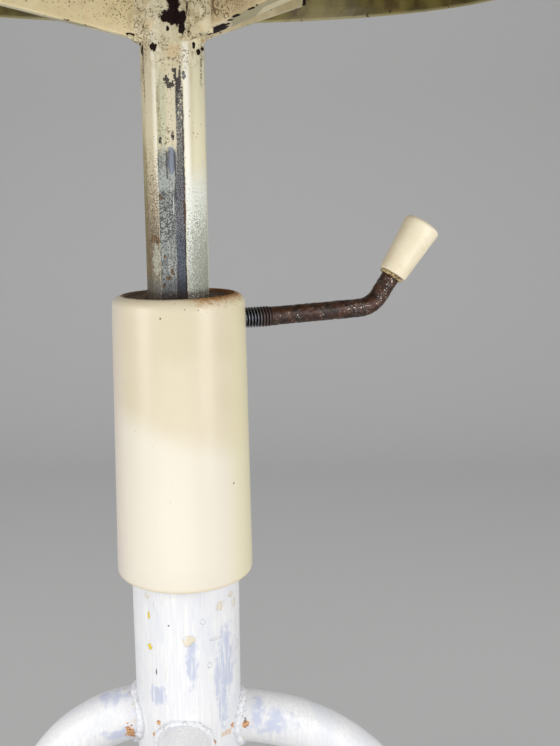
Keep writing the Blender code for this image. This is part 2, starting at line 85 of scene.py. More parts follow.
KNOB_FROM, KNOB_LONG = 19.5 * MM, 30 * MM           # along the rod, from its vertex
LEG_R = 13.45 * MM
LEG_AXIS_Z = 240 * MM
LEG_LIFT = {"right": -0.6 * MM, "back": 0.0, "left": 4 * MM, "front": -1 * MM}
LEG_BEND_R = {"right": 102 * MM, "back": 80 * MM, "left": 64 * MM, "front": 80 * MM}
LEG_BEND_START = 16 * MM
LEG_END_Z = 20 * MM
FOOT_CIRCLE_R = 190 * MM
FLAT_AZIMUTH = math.radians(-92)
FLAT_DEPTH = 1.3 * MM
ARM_BOTTOM = 107.4 * MM            # the arms' lower edges above the sleeve, at the axis
ARM_SLOPE = 0.24
ARM_HALF, ARM_WALL, ARM_FOLD_R = 6.0 * MM, 1.5 * MM, 1.3 * MM
ARM_REACH = 120 * MM
LEG_SIDES = ("right", "back", "left", "front")
ARM_SIDES = ("left", "back", "front")


def leg_azimuth(side):
    center = middle("foot_washer_" + side)
    return math.atan2(center.y, center.x)


def arm_azimuth(side):
    center = middle("top_screw_" + side)
    return math.atan2(center.y, center.x)


# ---------------------------------------------------------------- mesh building

def full_turn(steps):
    """Evenly spaced angles round a circle."""
    return [math.tau * i / steps for i in range(steps)]


def polar(radius, angle, z=0.0):
    return Vector((radius * math.cos(angle), radius * math.sin(angle), z))


def heading(direction):
    """A matrix that turns Z to a direction."""
    return direction.to_track_quat("Z", "Y").to_matrix().to_4x4()


def new_object(name, bm, angle=40):
    bmesh.ops.recalc_face_normals(bm, faces=bm.faces)
    mesh = bpy.data.meshes.new(name)
    bm.to_mesh(mesh)
    bm.free()
    mesh.shade_smooth()
    mesh.set_sharp_from_angle(angle=math.radians(angle))
    obj = bpy.data.objects.new(name, mesh)
    bpy.context.scene.collection.objects.link(obj)
    return obj


def skin(rows, close_rows=False, caps=False):
    """A bmesh over rings of points; each row is one closed ring."""
    bm = bmesh.new()
    rings = [[bm.verts.new(point) for point in row] for row in rows]
    pairs = list(zip(rings, rings[1:]))
    if close_rows:
        pairs.append((rings[-1], rings[0]))
    for lower, upper in pairs:
        count = len(lower)
        for i in range(count):
            j = (i + 1) % count
            bm.faces.new((lower[i], lower[j], upper[j], upper[i]))
    if caps:
        bm.faces.new(rings[0])
        bm.faces.new(rings[-1])
    return bm


def turned(name, profile, around, closed=False, bump=None, angle=40):
    """Turn (radius, z) points about Z; an open profile is capped at both ends."""
    rows = [[polar(r, a, z) for a in full_turn(around)] for r, z in profile]
    if bump:
        rows = [[bump(point) for point in row] for row in rows]
    return new_object(name, skin(rows, close_rows=closed, caps=not closed), angle)


def frames_along(path):
    """Position, side and up vectors along a path that stays in a plane or turns gently."""
    tangents = []
    for i in range(len(path)):
        before = path[max(i - 1, 0)]
        after = path[min(i + 1, len(path) - 1)]
        tangents.append((after - before).normalized())
    side = tangents[0].orthogonal().normalized()
    result = []
    for point, tangent in zip(path, tangents):
        side = (side - tangent * side.dot(tangent)).normalized()
        result.append((point, side, tangent.cross(side)))
    return result


def swept(path, radius, around, lump, lump_scale):
    """Rings of points round a path, made lumpy by noise (sizes in metres)."""
    rows = []
    for point, side, up in frames_along(path):
        ring = []
        for a in full_turn(around):
            offset = side * math.cos(a) + up * math.sin(a)
            rough = noise.noise((point + offset * radius) / MM * lump_scale)
            ring.append(point + offset * (radius + lump * rough))
        rows.append(ring)
    return rows


def arc(center, radius, start, end, steps):
    """Flat points (not vectors) along an arc."""
    angles = [start + (end - start) * i / steps for i in range(steps + 1)]
    return [(center[0] + radius * math.cos(a), center[1] + radius * math.sin(a))
            for a in angles]


def line(start, end, steps):
    return [start.lerp(end, i / steps) for i in range(steps + 1)]


def finish_piece(obj, body, material, slot, *nodes):
    """Give a piece its body and look, and hide the CAD nodes it stands for; the slot is not used.
    """
    obj.data.materials.clear()
    obj.data.materials.append(material)
    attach(obj, body)
    if nodes:
        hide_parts(*nodes)
    return obj


# ------------------------------------------------------------- material building

def srgb(red, green, blue):
    """A colour given in 0 to 255 display values, as linear RGBA."""
    def linear(value):
        value /= 255
        return value / 12.92 if value <= 0.04045 else ((value + 0.055) / 1.055) ** 2.4
    return (linear(red), linear(green), linear(blue), 1.0)


class Look:
    """One procedural material; its coordinates are millimetres in the frame."""

    def __init__(self, name):
        self.mat = bpy.data.materials.new(name)
        self.mat.use_nodes = True
        self.tree = self.mat.node_tree
        self.shader = self.tree.nodes["Principled BSDF"]
        coords = self.tree.nodes.new("ShaderNodeTexCoord")
        scale = self.tree.nodes.new("ShaderNodeVectorMath")
        scale.operation = "SCALE"
        scale.inputs["Scale"].default_value = 1 / MM
        self.tree.links.new(coords.outputs["Object"], scale.inputs[0])
        self.mm = scale.outputs[0]

    def feed(self, socket, value):
        if isinstance(value, bpy.types.NodeSocket):
            self.tree.links.new(value, socket)
        else:
            socket.default_value = value

    def math(self, operation, a, b=0.0):
        node = self.tree.nodes.new("ShaderNodeMath")
        node.operation = operation
        self.feed(node.inputs[0], a)
        self.feed(node.inputs[1], b)
        return node.outputs[0]

    def plus(self, a, b):
        return self.math("ADD", a, b)

    def minus(self, a, b):
        return self.math("SUBTRACT", a, b)

    def times(self, a, b):
        return self.math("MULTIPLY", a, b)

    def hypot(self, a, b):
        return self.math("SQRT", self.plus(self.times(a, a), self.times(b, b)))

    def dot(self, direction):
        """Millimetres along a direction."""
        node = self.tree.nodes.new("ShaderNodeVectorMath")
        node.operation = "DOT_PRODUCT"
        self.feed(node.inputs[0], self.mm)
        node.inputs[1].default_value = direction
        return node.outputs["Value"]

    def height(self, zero):
        """Millimetres above a level given in metres."""
        return self.minus(self.dot((0, 0, 1)), zero / MM)

    def stretch(self, factors):
        """Coordinates scaled along each axis, which draws a noise out along the small ones."""
        node = self.tree.nodes.new("ShaderNodeVectorMath")
        node.operation = "MULTIPLY"
        self.feed(node.inputs[0], self.mm)
        node.inputs[1].default_value = factors
        return node.outputs[0]

    def noise(self, scale, detail=3.0, vector=None, distortion=0.0):
        """Soft noise, 0 to 1 and mostly near 0.5; its grain is about 1 / scale mm."""
        node = self.tree.nodes.new("ShaderNodeTexNoise")
        self.feed(node.inputs["Vector"], vector or self.mm)
        node.inputs["Scale"].default_value = scale
        node.inputs["Detail"].default_value = detail
        node.inputs["Distortion"].default_value = distortion
        return node.outputs["Fac"]

    def cells(self, scale):
        """Distance from scattered points about 1 / scale mm apart, in spacings."""
        node = self.tree.nodes.new("ShaderNodeTexVoronoi")
        self.feed(node.inputs["Vector"], self.mm)
        node.inputs["Scale"].default_value = scale
        return node.outputs["Distance"]

    def step(self, value, low, high):
        """0 below low and 1 above high, or the reverse if high is the smaller."""
        node = self.tree.nodes.new("ShaderNodeMapRange")
        node.interpolation_type = "SMOOTHSTEP"
        self.feed(node.inputs["Value"], value)
        falling = high < low
        node.inputs["From Min"].default_value = min(low, high)
        node.inputs["From Max"].default_value = max(low, high)
        node.inputs["To Min"].default_value = 1.0 if falling else 0.0
        node.inputs["To Max"].default_value = 0.0 if falling else 1.0
        return node.outputs["Result"]

    def both(self, *masks):
        """Where all the masks are 1."""
        result = masks[0]
        for mask in masks[1:]:
            result = self.times(result, mask)
        return result

    def either(self, *masks):
        """Where any of the masks is 1."""
        result = masks[0]
        for mask in masks[1:]:
            result = self.math("MAXIMUM", result, mask)
        return result

    def outside(self, mask):
        return self.minus(1.0, mask)

    def band(self, value, low, high, soft):
        """1 from low to high, with soft ends."""
        return self.both(self.step(value, low - soft, low + soft),
                         self.step(value, high + soft, high - soft))

    def patches(self, scale, detail, low, high):
        """Uneven patches: noise cut between two of its levels."""
        return self.step(self.noise(scale, detail), low, high)

    def blob(self, u, v, center, radii, ragged=0.5, grain=0.8, soft=0.08):
        """A ragged ellipse about a centre in two coordinates; radii are its half sizes."""
        du = self.math("DIVIDE", self.minus(u, center[0]), radii[0])
        dv = self.math("DIVIDE", self.minus(v, center[1]), radii[1])
        edge = self.times(self.minus(self.noise(grain, 4), 0.5), ragged * 4)
        return self.step(self.plus(self.hypot(du, dv), edge), 1 + soft, 1 - soft)

    def blobs(self, u, v, places):
        """All the ragged ellipses of a list; a row has the arguments blob takes after v."""
        return self.either(*(self.blob(u, v, *place) for place in places))

    def lay(self, color, over, *masks):
        """A colour with another laid over it where all the masks are 1."""
        return self.mix(self.both(*masks), color, over)

    def grains(self, share, scale=1.9):
        """Fine grains covering about this share, 0 to 1, of the surface."""
        line = self.minus(0.66, self.times(share, 0.32))
        return self.step(self.minus(self.noise(scale, 4), line), -0.04, 0.04)

    def cracks(self, scale, width=0.012):
        """Thin wandering lines."""
        away = self.math("ABSOLUTE", self.minus(self.noise(scale, 4), 0.5))
        return self.step(away, width, width * 0.5)

    def radius(self):
        """Millimetres from the column axis."""
        return self.hypot(self.dot((1, 0, 0)), self.dot((0, 1, 0)))

    def blend(self, fac, a, b, kind="FLOAT"):
        """Number a where fac is 0, b where it is 1."""
        node = self.tree.nodes.new("ShaderNodeMix")
        node.data_type = kind
        self.feed(node.inputs["Factor"], fac)
        self.feed(node.inputs["A"], a)
        self.feed(node.inputs["B"], b)
        return node.outputs["Result"]

    def mix(self, fac, a, b):
        """Colour a where fac is 0, b where it is 1."""
        return self.blend(fac, a, b, "RGBA")

    def bump(self, height, depth, normal=None):
        """Relief of a given depth in metres."""
        node = self.tree.nodes.new("ShaderNodeBump")
        self.feed(node.inputs["Height"], height)
        node.inputs["Distance"].default_value = depth
        if normal:
            self.feed(node.inputs["Normal"], normal)
        return node.outputs["Normal"]

    def done(self, color, rough, metal=0.0, normal=None, coat=0.0, shine=0.5):
        """Feed the shader and give back the finished material."""
        self.feed(self.shader.inputs["Base Color"], color)
        self.feed(self.shader.inputs["Roughness"], rough)
        self.feed(self.shader.inputs["Metallic"], metal)
        self.feed(self.shader.inputs["Coat Weight"], coat)
        self.feed(self.shader.inputs["Specular IOR Level"], shine)
        self.shader.inputs["Coat Roughness"].default_value = 0.12
        if normal:
            self.feed(self.shader.inputs["Normal"], normal)
        return self.mat


# --------------------------------------------------------------------- materials

CHIP = srgb(34, 19, 19)            # bare dark metal under the enamel
CHIP_SHINE = 0.12


def enamel_base(look, light, dark, drips=0.4):
    """Aged enamel: slow tone changes and faint runs down the surface."""
    tone = look.noise(0.05, 3)
    runs = look.noise(1.0, 2, look.stretch((0.5, 0.5, 0.03)))
    return look.mix(look.step(look.blend(drips, tone, runs), 0.35, 0.65), dark, light)


def specks(look, scale, spread, thin=0.5):
    """Small round dots, thinned out in patches."""
    dots = look.step(look.cells(scale), spread, spread * 0.6)
    patch = look.step(look.noise(scale * 0.22, 2), thin, thin + 0.06)
    return look.both(dots, patch)


def post_axes(look):
    """Millimetres across the post's flat, above the sleeve's mouth, and a front mask."""
    along = FLAT_AZIMUTH + math.pi / 2
    u = look.dot((math.cos(along), math.sin(along), 0))
    front = look.step(look.dot((math.cos(FLAT_AZIMUTH), math.sin(FLAT_AZIMUTH), 0)), 0.5, 2.5)
    return u, look.height(SLEEVE_TOP), front


def joint_chips(look, u, z):
    """Chips to bare dark metal where the arms meet the post."""
    return look.blobs(u, z, [
        ((2.8, 125.6), (2.6, 4.4), 0.45, 0.6),
        ((1.6, 119.8), (4.4, 3.3), 0.45, 0.6),
        ((4.8, 118.4), (2.8, 2.2), 0.4, 0.6),
        ((7.0, 119.4), (1.6, 2.6), 0.45, 0.7),
        ((6.4, 115.4), (1.5, 3.0), 0.45, 0.8),
        ((0.2, 114.7), (0.65, 1.1), 0.25, 1.0),
        ((-6.3, 107.3), (1.7, 1.5), 0.5, 0.7),
        ((-12.1, 106.4), (0.6, 2.2), 0.4, 0.9),
        ((-13.4, 109.0), (0.6, 0.8), 0.3, 1.0),
        ((9.2, 122.6), (0.4, 2.6), 0.5, 1.2),
        ((9.4, 113.0), (0.45, 0.5), 0.3, 1.2),
        ((10.7, 108.2), (0.6, 1.5), 0.35, 1.0),
        ((12.4, 105.5), (0.8, 1.3), 0.35, 1.0),
        ((13.8, 107.0), (0.5, 0.8), 0.3, 1.2)])


def post_look():
    """The post's enamel, worn by the clamp; u runs across the flat and z up, in mm."""
    look = Look("post_enamel")
    u, z, front = post_axes(look)
    wander = look.times(look.minus(look.noise(0.35, 4), 0.5), 3.0)
    zw = look.plus(z, look.times(wander, 3.0))
    uw = look.plus(u, look.times(wander, 0.3))
    brush = look.noise(1.0, 2, look.stretch((1, 1, 0.1)))
    left = look.both(front, look.step(uw, -5.8, -6.4))
    flat = look.both(front, look.band(uw, -5.9, 5.9, 0.2))
    right = look.both(front, look.step(uw, 5.9, 6.5))

    color = enamel_base(look, srgb(232, 222, 190), srgb(215, 203, 167))
    color = look.lay(color, srgb(212, 198, 166), left, 0.55)
    # Painted highlight: a pale strip down the left edge of the flat.
    color = look.lay(color, srgb(238, 230, 208), front, look.band(u, -7.6, -6.0, 0.5), 0.7)
    color = look.lay(color, srgb(156, 138, 96), look.step(u, -10.5, -13.0),
                     look.step(brush, 0.44, 0.56), 0.75)
    # Painted highlight: a bright band beside the flat's right edge.
    color = look.lay(color, srgb(243, 238, 220), right, look.step(u, 9.5, 7.5), 0.9)
    color = look.lay(color, srgb(240, 233, 200), right, look.step(u, 9.0, 11.0), 0.9)
    below_runout = look.step(zw, 102, 90)
    color = look.lay(color, srgb(203, 201, 172), flat, below_runout, look.step(uw, -1.0, -2.6), 0.9)
    color = look.lay(color, srgb(226, 215, 188), flat, below_runout, look.step(uw, -2.2, -0.6), 0.8)
    color = look.lay(color, srgb(168, 150, 110), flat, below_runout,
                     look.band(uw, -5.6, -4.0, 0.5), look.step(brush, 0.46, 0.6), 0.7)

    # Enamel ground thin and grey towards the sleeve, more on the left.
    low_right = look.step(z, 54, 16)
    color = look.lay(color, srgb(234, 237, 228), right, look.step(z, 62, 42), 0.9)
    share = look.both(low_right, look.blend(look.step(u, 7.0, 10.0), 0.50, 0.82))
    color = look.lay(color, srgb(170, 175, 162), right, look.step(z, 26, 8), 0.6)
    color = look.lay(color, srgb(132, 136, 120), right, look.grains(share),
                     look.step(z, 62, 48), 0.85)
    color = look.lay(color, srgb(238, 238, 230), right, low_right, look.grains(0.25, 2.3), 0.6)
    low_left = look.step(z, 72, 30)
    color = look.lay(color, srgb(184, 171, 144), left, low_left, 0.8)
    color = look.lay(color, srgb(140, 131, 110), left, look.step(zw, 38, 26), 0.8)
    color = look.lay(color, srgb(150, 140, 92), left, look.step(u, -10.8, -12.0),
                     look.step(z, 72, 62), 0.7)
    color = look.lay(color, srgb(98, 80, 56), left, look.step(z, 74, 60),
                     look.grains(look.blend(low_left, 0.15, 0.62)), 0.85)
    pale = look.blob(u, z, (-8.1, 15.2), (1.6, 8.0), 0.8, 0.6, 0.3)
    color = look.lay(color, srgb(190, 190, 174), pale, front, look.grains(0.75, 1.3), 0.65)
    color = look.lay(color, srgb(104, 84, 56), front, look.band(u, -13.4, -10.2, 0.6),
                     look.step(z, 26, 14), look.step(brush, 0.4, 0.56), 0.85)
    color = look.lay(color, srgb(92, 90, 84), left, look.step(zw, 9, 3), look.grains(0.75), 0.9)

    # The flat's left part, rubbed to zinc below the scrape.
    rubbed = look.both(flat, look.step(zw, 67, 60), look.step(uw, 3.4, 2.8))
    zinc = look.mix(look.step(brush, 0.4, 0.6), srgb(138, 142, 140), srgb(172, 176, 170))
    zinc = look.lay(zinc, srgb(178, 183, 180), look.band(z, 46.5, 56, 1.0), 0.7)
    zinc = look.lay(zinc, srgb(104, 108, 112), look.step(zw, 12, 3), 0.8)
    color = look.mix(look.times(rubbed, 0.95), color, zinc)
    dots = look.blend(look.step(z, 47, 44.5), 0.22, look.blend(look.step(z, 30, 20), 0.55, 0.35))
    color = look.lay(color, srgb(62, 62, 64), rubbed, look.grains(dots, 1.6), 0.85)
    color = look.lay(color, srgb(70, 68, 62), flat, look.band(u, -6.2, -5.5, 0.15),
                     look.step(z, 66, 58), look.grains(0.55, 1.1), 0.85)
    glint = look.blob(u, z, (0.6, 39.6), (0.25, 4.2), 0.1, 1.0)
    color = look.lay(color, srgb(204, 207, 205), glint, front, 0.9)

    # The flat's right part, worn to dark metal all the way up.
    edge = look.blend(look.step(z, 62, 44), 2.6, 1.5)
    strip = look.both(flat, look.step(look.minus(uw, edge), -0.3, 0.3),
                      look.step(zw, 92, 86))
    speckle = look.grains(0.5)
    upper = look.mix(speckle, srgb(148, 146, 140), srgb(76, 75, 76))
    middle_tone = look.mix(speckle, srgb(132, 134, 138), srgb(68, 67, 72))
    lower = look.mix(speckle, srgb(106, 113, 124), srgb(52, 55, 63))
    metal_tone = look.mix(look.step(z, 60, 48), upper, middle_tone)
    metal_tone = look.mix(look.step(z, 34, 20), metal_tone, lower)
    metal_tone = look.lay(metal_tone, srgb(50, 52, 60), look.step(zw, 12, 2), 0.7)
    thin = look.both(look.step(z, 58, 84), look.patches(1.0, 4, 0.54, 0.6))
    keep = look.both(strip, look.outside(thin))
    color = look.mix(keep, color, metal_tone)
    color = look.lay(color, srgb(58, 54, 58), look.both(flat, look.band(uw, 2.6, 3.7, 0.25)),
                     look.band(z, 82, 91, 1.5), 0.85)
    smudge = look.blobs(u, z, [
        ((2.4, 97.6), (1.1, 1.1), 0.8, 1.2),
        ((-1.0, 93.6), (1.1, 1.8), 0.8, 1.2),
        ((0.7, 91.5), (1.8, 1.3), 0.8, 1.2),
        ((2.8, 94.6), (0.8, 2.4), 0.8, 1.2),
        ((4.0, 92.0), (1.3, 3.6), 0.8, 1.2),
        ((4.9, 97.0), (0.4, 3.0), 0.7, 1.2),
        ((6.4, 95.4), (0.7, 1.5), 0.8, 1.2),
        ((1.0, 70.0), (0.7, 1.6), 0.9, 1.2),
        ((-4.6, 68.0), (0.6, 1.4), 0.9, 1.2)])
    color = look.lay(color, srgb(46, 40, 44), look.both(front, smudge), 0.95)

    # The scrape: a smooth groove with a round upper end.
    scrape = look.both(front, look.blob(u, z, (0.1, 59.4), (1.8, 6.0), 0.05, 1.0))
    groove = look.mix(look.band(u, -0.6, 0.9, 0.4), srgb(112, 116, 128), srgb(142, 149, 164))
    color = look.mix(scrape, color, groove)
    beside = look.either(look.band(u, -2.2, -1.6, 0.2), look.band(u, 1.5, 2.1, 0.2))
    color = look.lay(color, srgb(52, 50, 54), front, beside, look.band(zw, 51, 63, 1.5), 0.9)

    # Dark seams beside the flat, and spots of rust.
    seam = look.both(flat, look.band(uw, 5.2, 6.0, 0.25), look.step(zw, 94, 84),
                     look.patches(0.8, 3, 0.38, 0.5))
    color = look.lay(color, srgb(56, 44, 40), seam, 0.85)
    color = look.lay(color, srgb(84, 50, 30), front, look.band(uw, 5.0, 6.0, 0.3),
                     look.band(z, 30, 50, 4.0), look.grains(0.6, 0.8), 0.8)
    color = look.lay(color, srgb(60, 56, 58), flat, look.band(uw, 1.3, 2.0, 0.2),
                     look.either(look.band(z, 42, 50, 1.5), look.step(z, 16, 8)), 0.7)
    rust = look.both(front, look.blobs(u, z, [
        ((-8.3, 24.4), (2.5, 1.7), 0.6, 0.9),
        ((-3.9, 16.9), (0.6, 1.0), 0.7, 1.2),
        ((-0.7, 10.8), (0.8, 1.9), 0.9, 1.2),
        ((-2.0, 7.4), (1.6, 0.9), 0.9, 1.2),
        ((-4.6, 4.4), (0.6, 1.2), 0.8, 1.2),
        ((-5.3, 43.6), (0.7, 1.4), 0.8, 1.2)]))
    rust_tone = look.mix(look.grains(0.6), srgb(130, 97, 56), srgb(76, 56, 36))
    color = look.mix(look.times(rust, 0.85), color, rust_tone)
    foot = look.step(look.plus(z, wander), 2.2, -0.6)
    color = look.lay(color, srgb(62, 46, 36), foot, look.grains(0.8), 0.8)

    # Grime, pin specks and chips near the arms.
    joint = look.step(zw, 96, 104)
    clusters = look.patches(0.14, 2, 0.46, 0.58)
    color = look.lay(color, srgb(122, 92, 54), joint, look.grains(0.3, 1.3), clusters, 0.85)
    color = look.lay(color, srgb(120, 94, 60), joint, look.cracks(0.22),
                     look.patches(0.1, 2, 0.52, 0.58), 0.7)
    color = look.lay(color, srgb(226, 196, 150), look.both(front, joint),
                     look.blob(u, z, (2.2, 105.8), (2.6, 2.6), 0.5, 0.3), 0.55)
    sag = look.plus(z, look.times(look.times(u, u), 0.06))
    runout = look.both(look.band(sag, 101.9, 103.0, 0.4), look.band(u, -5.2, 5.4, 0.5))
    color = look.lay(color, srgb(112, 84, 52), front, runout, look.grains(0.5, 1.3), 0.85)
    crazing = look.either(look.both(look.band(uw, -12.0, -11.2, 0.3), look.band(z, 86, 105, 3)),
                          look.both(look.band(uw, 12.9, 13.5, 0.3), look.band(z, 92, 105, 3)))
    color = look.lay(color, srgb(92, 70, 44), front, crazing, look.grains(0.6, 1.1), 0.85)
    few = look.both(specks(look, 0.42, 0.16, 0.5), look.step(z, 50, 62))
    color = look.lay(color, srgb(104, 84, 58), few, 0.75)
    flat_specks = look.both(flat, look.step(z, 52, 60), look.step(uw, 1.6, 0.8),
                            look.grains(look.blend(look.step(z, 92, 66), 0.04, 0.26), 1.2))
    color = look.lay(color, srgb(112, 104, 82), flat_specks, 0.8)
    chips = look.both(front, joint_chips(look, u, z))
    color = look.mix(chips, color, CHIP)

    bare = look.either(keep, look.times(rubbed, 0.8), scrape)
    worn = look.either(look.both(right, low_right), look.both(left, low_left))
    rough = look.blend(bare, look.blend(worn, 0.26, 0.5), 0.42)
    rough = look.blend(look.either(chips, rust), rough, 0.7)
    metal = look.times(bare, 0.3)
    relief = look.minus(look.times(look.noise(0.8, 4), 0.25),
                       look.times(look.either(bare, chips), 0.6))
    normal = look.bump(relief, 0.25 * MM)
    waves = look.both(joint, look.noise(0.25, 3))
    normal = look.bump(waves, 0.9 * MM, normal)
    normal = look.bump(look.noise(2.2, 3), 0.04 * MM, normal)
    return look.done(color, rough, metal, normal, shine=look.blend(chips, 0.5, CHIP_SHINE))


def sleeve_look():
    """Cream plastic, yellower above a slanting line and paler below it, which is painted light from
    low down; painted shade on its left edge and painted warm light on its right; stained round its
    mouth.
    """
    look = Look("sleeve_plastic")
    z = look.height(SLEEVE_TOP)
    x = look.dot((1, 0, 0))
    base = look.mix(look.patches(0.03, 2, 0.35, 0.65), srgb(222, 210, 181),
                    srgb(227, 215, 188))
    # Painted light: paler below a slanting line, as if lit from low in front.
    slanted = look.plus(z, look.times(x, 0.35))
    base = look.lay(base, srgb(237, 229, 212), look.step(slanted, -54, -72), 0.9)
    # Painted shade on the left edge, greyer, and painted warm light on the right edge, yellower.
    color = look.lay(base, srgb(218, 206, 194), look.step(x, -20, -31), 0.7)
    color = look.lay(color, srgb(232, 223, 184), look.step(x, 20, 31), 0.8)
    mouth = look.plus(look.radius(), look.times(look.noise(0.7, 4), 2.4))
    ring = look.both(look.step(mouth, 28.8, 27.4), look.step(z, -8, -2))
    toward = look.plus(look.dot((0.9, 0.15, 0)), look.times(look.noise(0.3, 3), 8.0))
    stain_side = look.step(toward, 3, 13)
    away = look.plus(look.radius(), look.times(look.noise(0.5, 4), 5.0))
    near_mouth = look.step(away, 33.8, 29.6)
    upper = look.step(z, -8, -3)
    stain = look.both(stain_side, near_mouth, upper)
    color = look.lay(color, srgb(106, 70, 40), ring, 0.85)
    color = look.lay(color, srgb(186, 124, 44), stain, 0.85)
    color = look.lay(color, srgb(96, 60, 26), stain, look.step(away, 32, 29),
                     look.grains(0.5, 1.1), 0.85)
    shoulder_dots = look.both(look.step(look.cells(0.42), 0.2, 0.12), look.band(z, -6.5, -1.0, 0.8),
                              look.patches(0.2, 2, 0.4, 0.48),
                              look.step(look.dot((0.72, -0.69, 0)), 17, 23))
    color = look.lay(color, srgb(122, 84, 46), shoulder_dots, 0.85)
    tiny = specks(look, 0.22, 0.06, 0.56)
    color = look.lay(color, srgb(120, 88, 64), tiny, 0.7)
    spots = look.blobs(x, z, [
        ((-5.3, -8.2), (0.42, 0.42), 0.05, 1.0),
        ((25.4, -88.0), (0.3, 0.45), 0.05, 1.0)])
    spot = look.both(spots, look.step(look.dot((0, -1, 0)), 5, 10))
    color = look.lay(color, srgb(70, 48, 40), spot, 0.9)
    foot = look.step(look.height(SLEEVE_BOTTOM), 2.6, 0.6)
    color = look.lay(color, srgb(222, 200, 160), foot, 0.35)
    rough = look.blend(look.either(ring, stain), look.blend(look.noise(0.25, 3), 0.3, 0.38), 0.65)
    normal = look.bump(look.noise(0.05, 2), 0.35 * MM)
    normal = look.bump(look.noise(1.2, 3), 0.012 * MM, normal)
    return look.done(color, rough, 0.0, normal, 0.1)


def white_look(name):
    """Brushed white repaint over an older coat that shows through as bluish patches."""
    look = Look(name)
    streaks = look.noise(1.0, 3, look.stretch((0.9, 0.9, 0.05)))
    base = look.mix(look.step(streaks, 0.35, 0.7), srgb(230, 230, 233), srgb(240, 240, 238))
    thin = look.both(look.step(look.noise(0.06, 4, look.stretch((1.0, 1.0, 0.4)), 0.4), 0.52, 0.64),
                     look.step(streaks, 0.38, 0.6))
    color = look.lay(base, srgb(208, 211, 224), thin, 0.5)
    dull = look.patches(0.11, 3, 0.62, 0.72)
    color = look.lay(color, srgb(226, 224, 217), dull, 0.4)
    scratches = look.step(look.noise(1.0, 3, look.stretch((1.3, 1.3, 0.1))), 0.70, 0.74)
    color = look.lay(color, srgb(162, 166, 186), scratches, 0.4)
    color = look.lay(color, srgb(90, 80, 78), specks(look, 0.2, 0.06, 0.58), 0.75)
    relief = look.plus(look.times(streaks, 0.5), look.noise(0.3, 4))
    return look, color, look.blend(thin, 0.4, 0.5), look.bump(relief, 0.14 * MM)


def repaint_rust(look, color, mask):
    """Rust that has bled through the white, dark in its core."""
    tone = look.mix(look.grains(0.5, 1.0), srgb(226, 160, 62), srgb(152, 84, 30))
    return look.mix(look.times(mask, 0.85), color, tone)


def column_look():
    """The column's repaint, with bluish and beige patches, drips and rust by the legs."""
    look, color, rough, normal = white_look("column_white")
    x = look.dot((1, 0, 0))
    z = look.height(SLEEVE_TOP)
    front = look.step(look.dot((0, -1, 0)), 2.0, 5.0)
    streak = look.noise(1.0, 3, look.stretch((0.7, 0.7, 0.08)))
    blue = look.blobs(x, z, [
        ((20.0, -180.0), (3.4, 16.0), 0.5, 0.25, 0.4),
        ((16.5, -188.0), (1.6, 12.0), 0.6, 0.3, 0.4),
        ((4.6, -177.0), (2.4, 10.0), 0.7, 0.25, 0.4),
        ((-12.6, -195.5), (4.0, 5.4), 0.7, 0.25, 0.4),
        ((18.4, -203.0), (2.2, 11.0), 0.7, 0.3, 0.4)])
    color = look.lay(color, srgb(200, 205, 223), blue, front, look.step(streak, 0.28, 0.52), 0.9)
    color = look.lay(color, srgb(182, 188, 210), blue, front, look.step(streak, 0.5, 0.64), 0.35)
    beige = look.blobs(x, z, [
        ((18.0, -150.4), (1.8, 2.4), 0.6, 0.6),
        ((24.0, -152.6), (0.7, 2.4), 0.6, 0.6),
        ((22.8, -147.2), (1.0, 1.2), 0.6, 0.6),
        ((3.2, -164.9), (2.7, 2.5), 0.4, 0.4),
        ((-17.0, -144.4), (1.1, 1.2), 0.6, 0.6)])
    color = look.lay(color, srgb(226, 212, 182), beige, front, look.step(streak, 0.36, 0.5), 0.8)
    yellow = look.both(front, look.blobs(x, z, [
        ((-16.3, -154.2), (0.65, 1.7), 0.4, 0.9),
        ((-16.2, -170.4), (0.95, 1.7), 0.9, 0.9)]))
    color = look.lay(color, srgb(238, 208, 44), yellow, 0.95)
    raised = look.both(front, look.blobs(x, z, [
        ((9.9, -156.1), (1.2, 1.3), 0.2, 0.5),
        ((24.9, -175.9), (0.8, 2.0), 0.2, 0.5),
        ((12.8, -179.5), (1.0, 1.4), 0.2, 0.5),
        ((15.6, -166.4), (2.4, 0.7), 0.3, 0.4)]))
    marks = look.both(front, look.blobs(x, z, [
        ((-6.4, -157.5), (0.45, 0.45), 0.05, 1.0),
        ((-13.2, -183.2), (0.3, 1.7), 0.2, 0.8)]))
    color = look.lay(color, srgb(48, 44, 50), marks, 0.9)
    leg_joints = look.band(z, -226, -204, 3)
    color = repaint_rust(look, color, look.both(leg_joints, front, look.blobs(x, z, [
        ((-12.8, -210.4), (1.6, 1.1), 0.9, 0.7),
        ((-15.6, -218.4), (0.6, 1.9), 0.9, 0.7),
        ((24.2, -218.0), (2.2, 1.7), 0.7, 0.5)])))
    color = look.lay(color, srgb(214, 168, 100), front,
                     look.blob(x, z, (20.2, -219.8), (2.6, 1.6), 0.9, 0.5), 0.5)
    normal = look.bump(look.either(raised, look.both(yellow, 0.7), look.both(beige, front, 0.5)),
                       0.5 * MM, normal)
    return look.done(color, rough, 0.0, normal, 0.1)


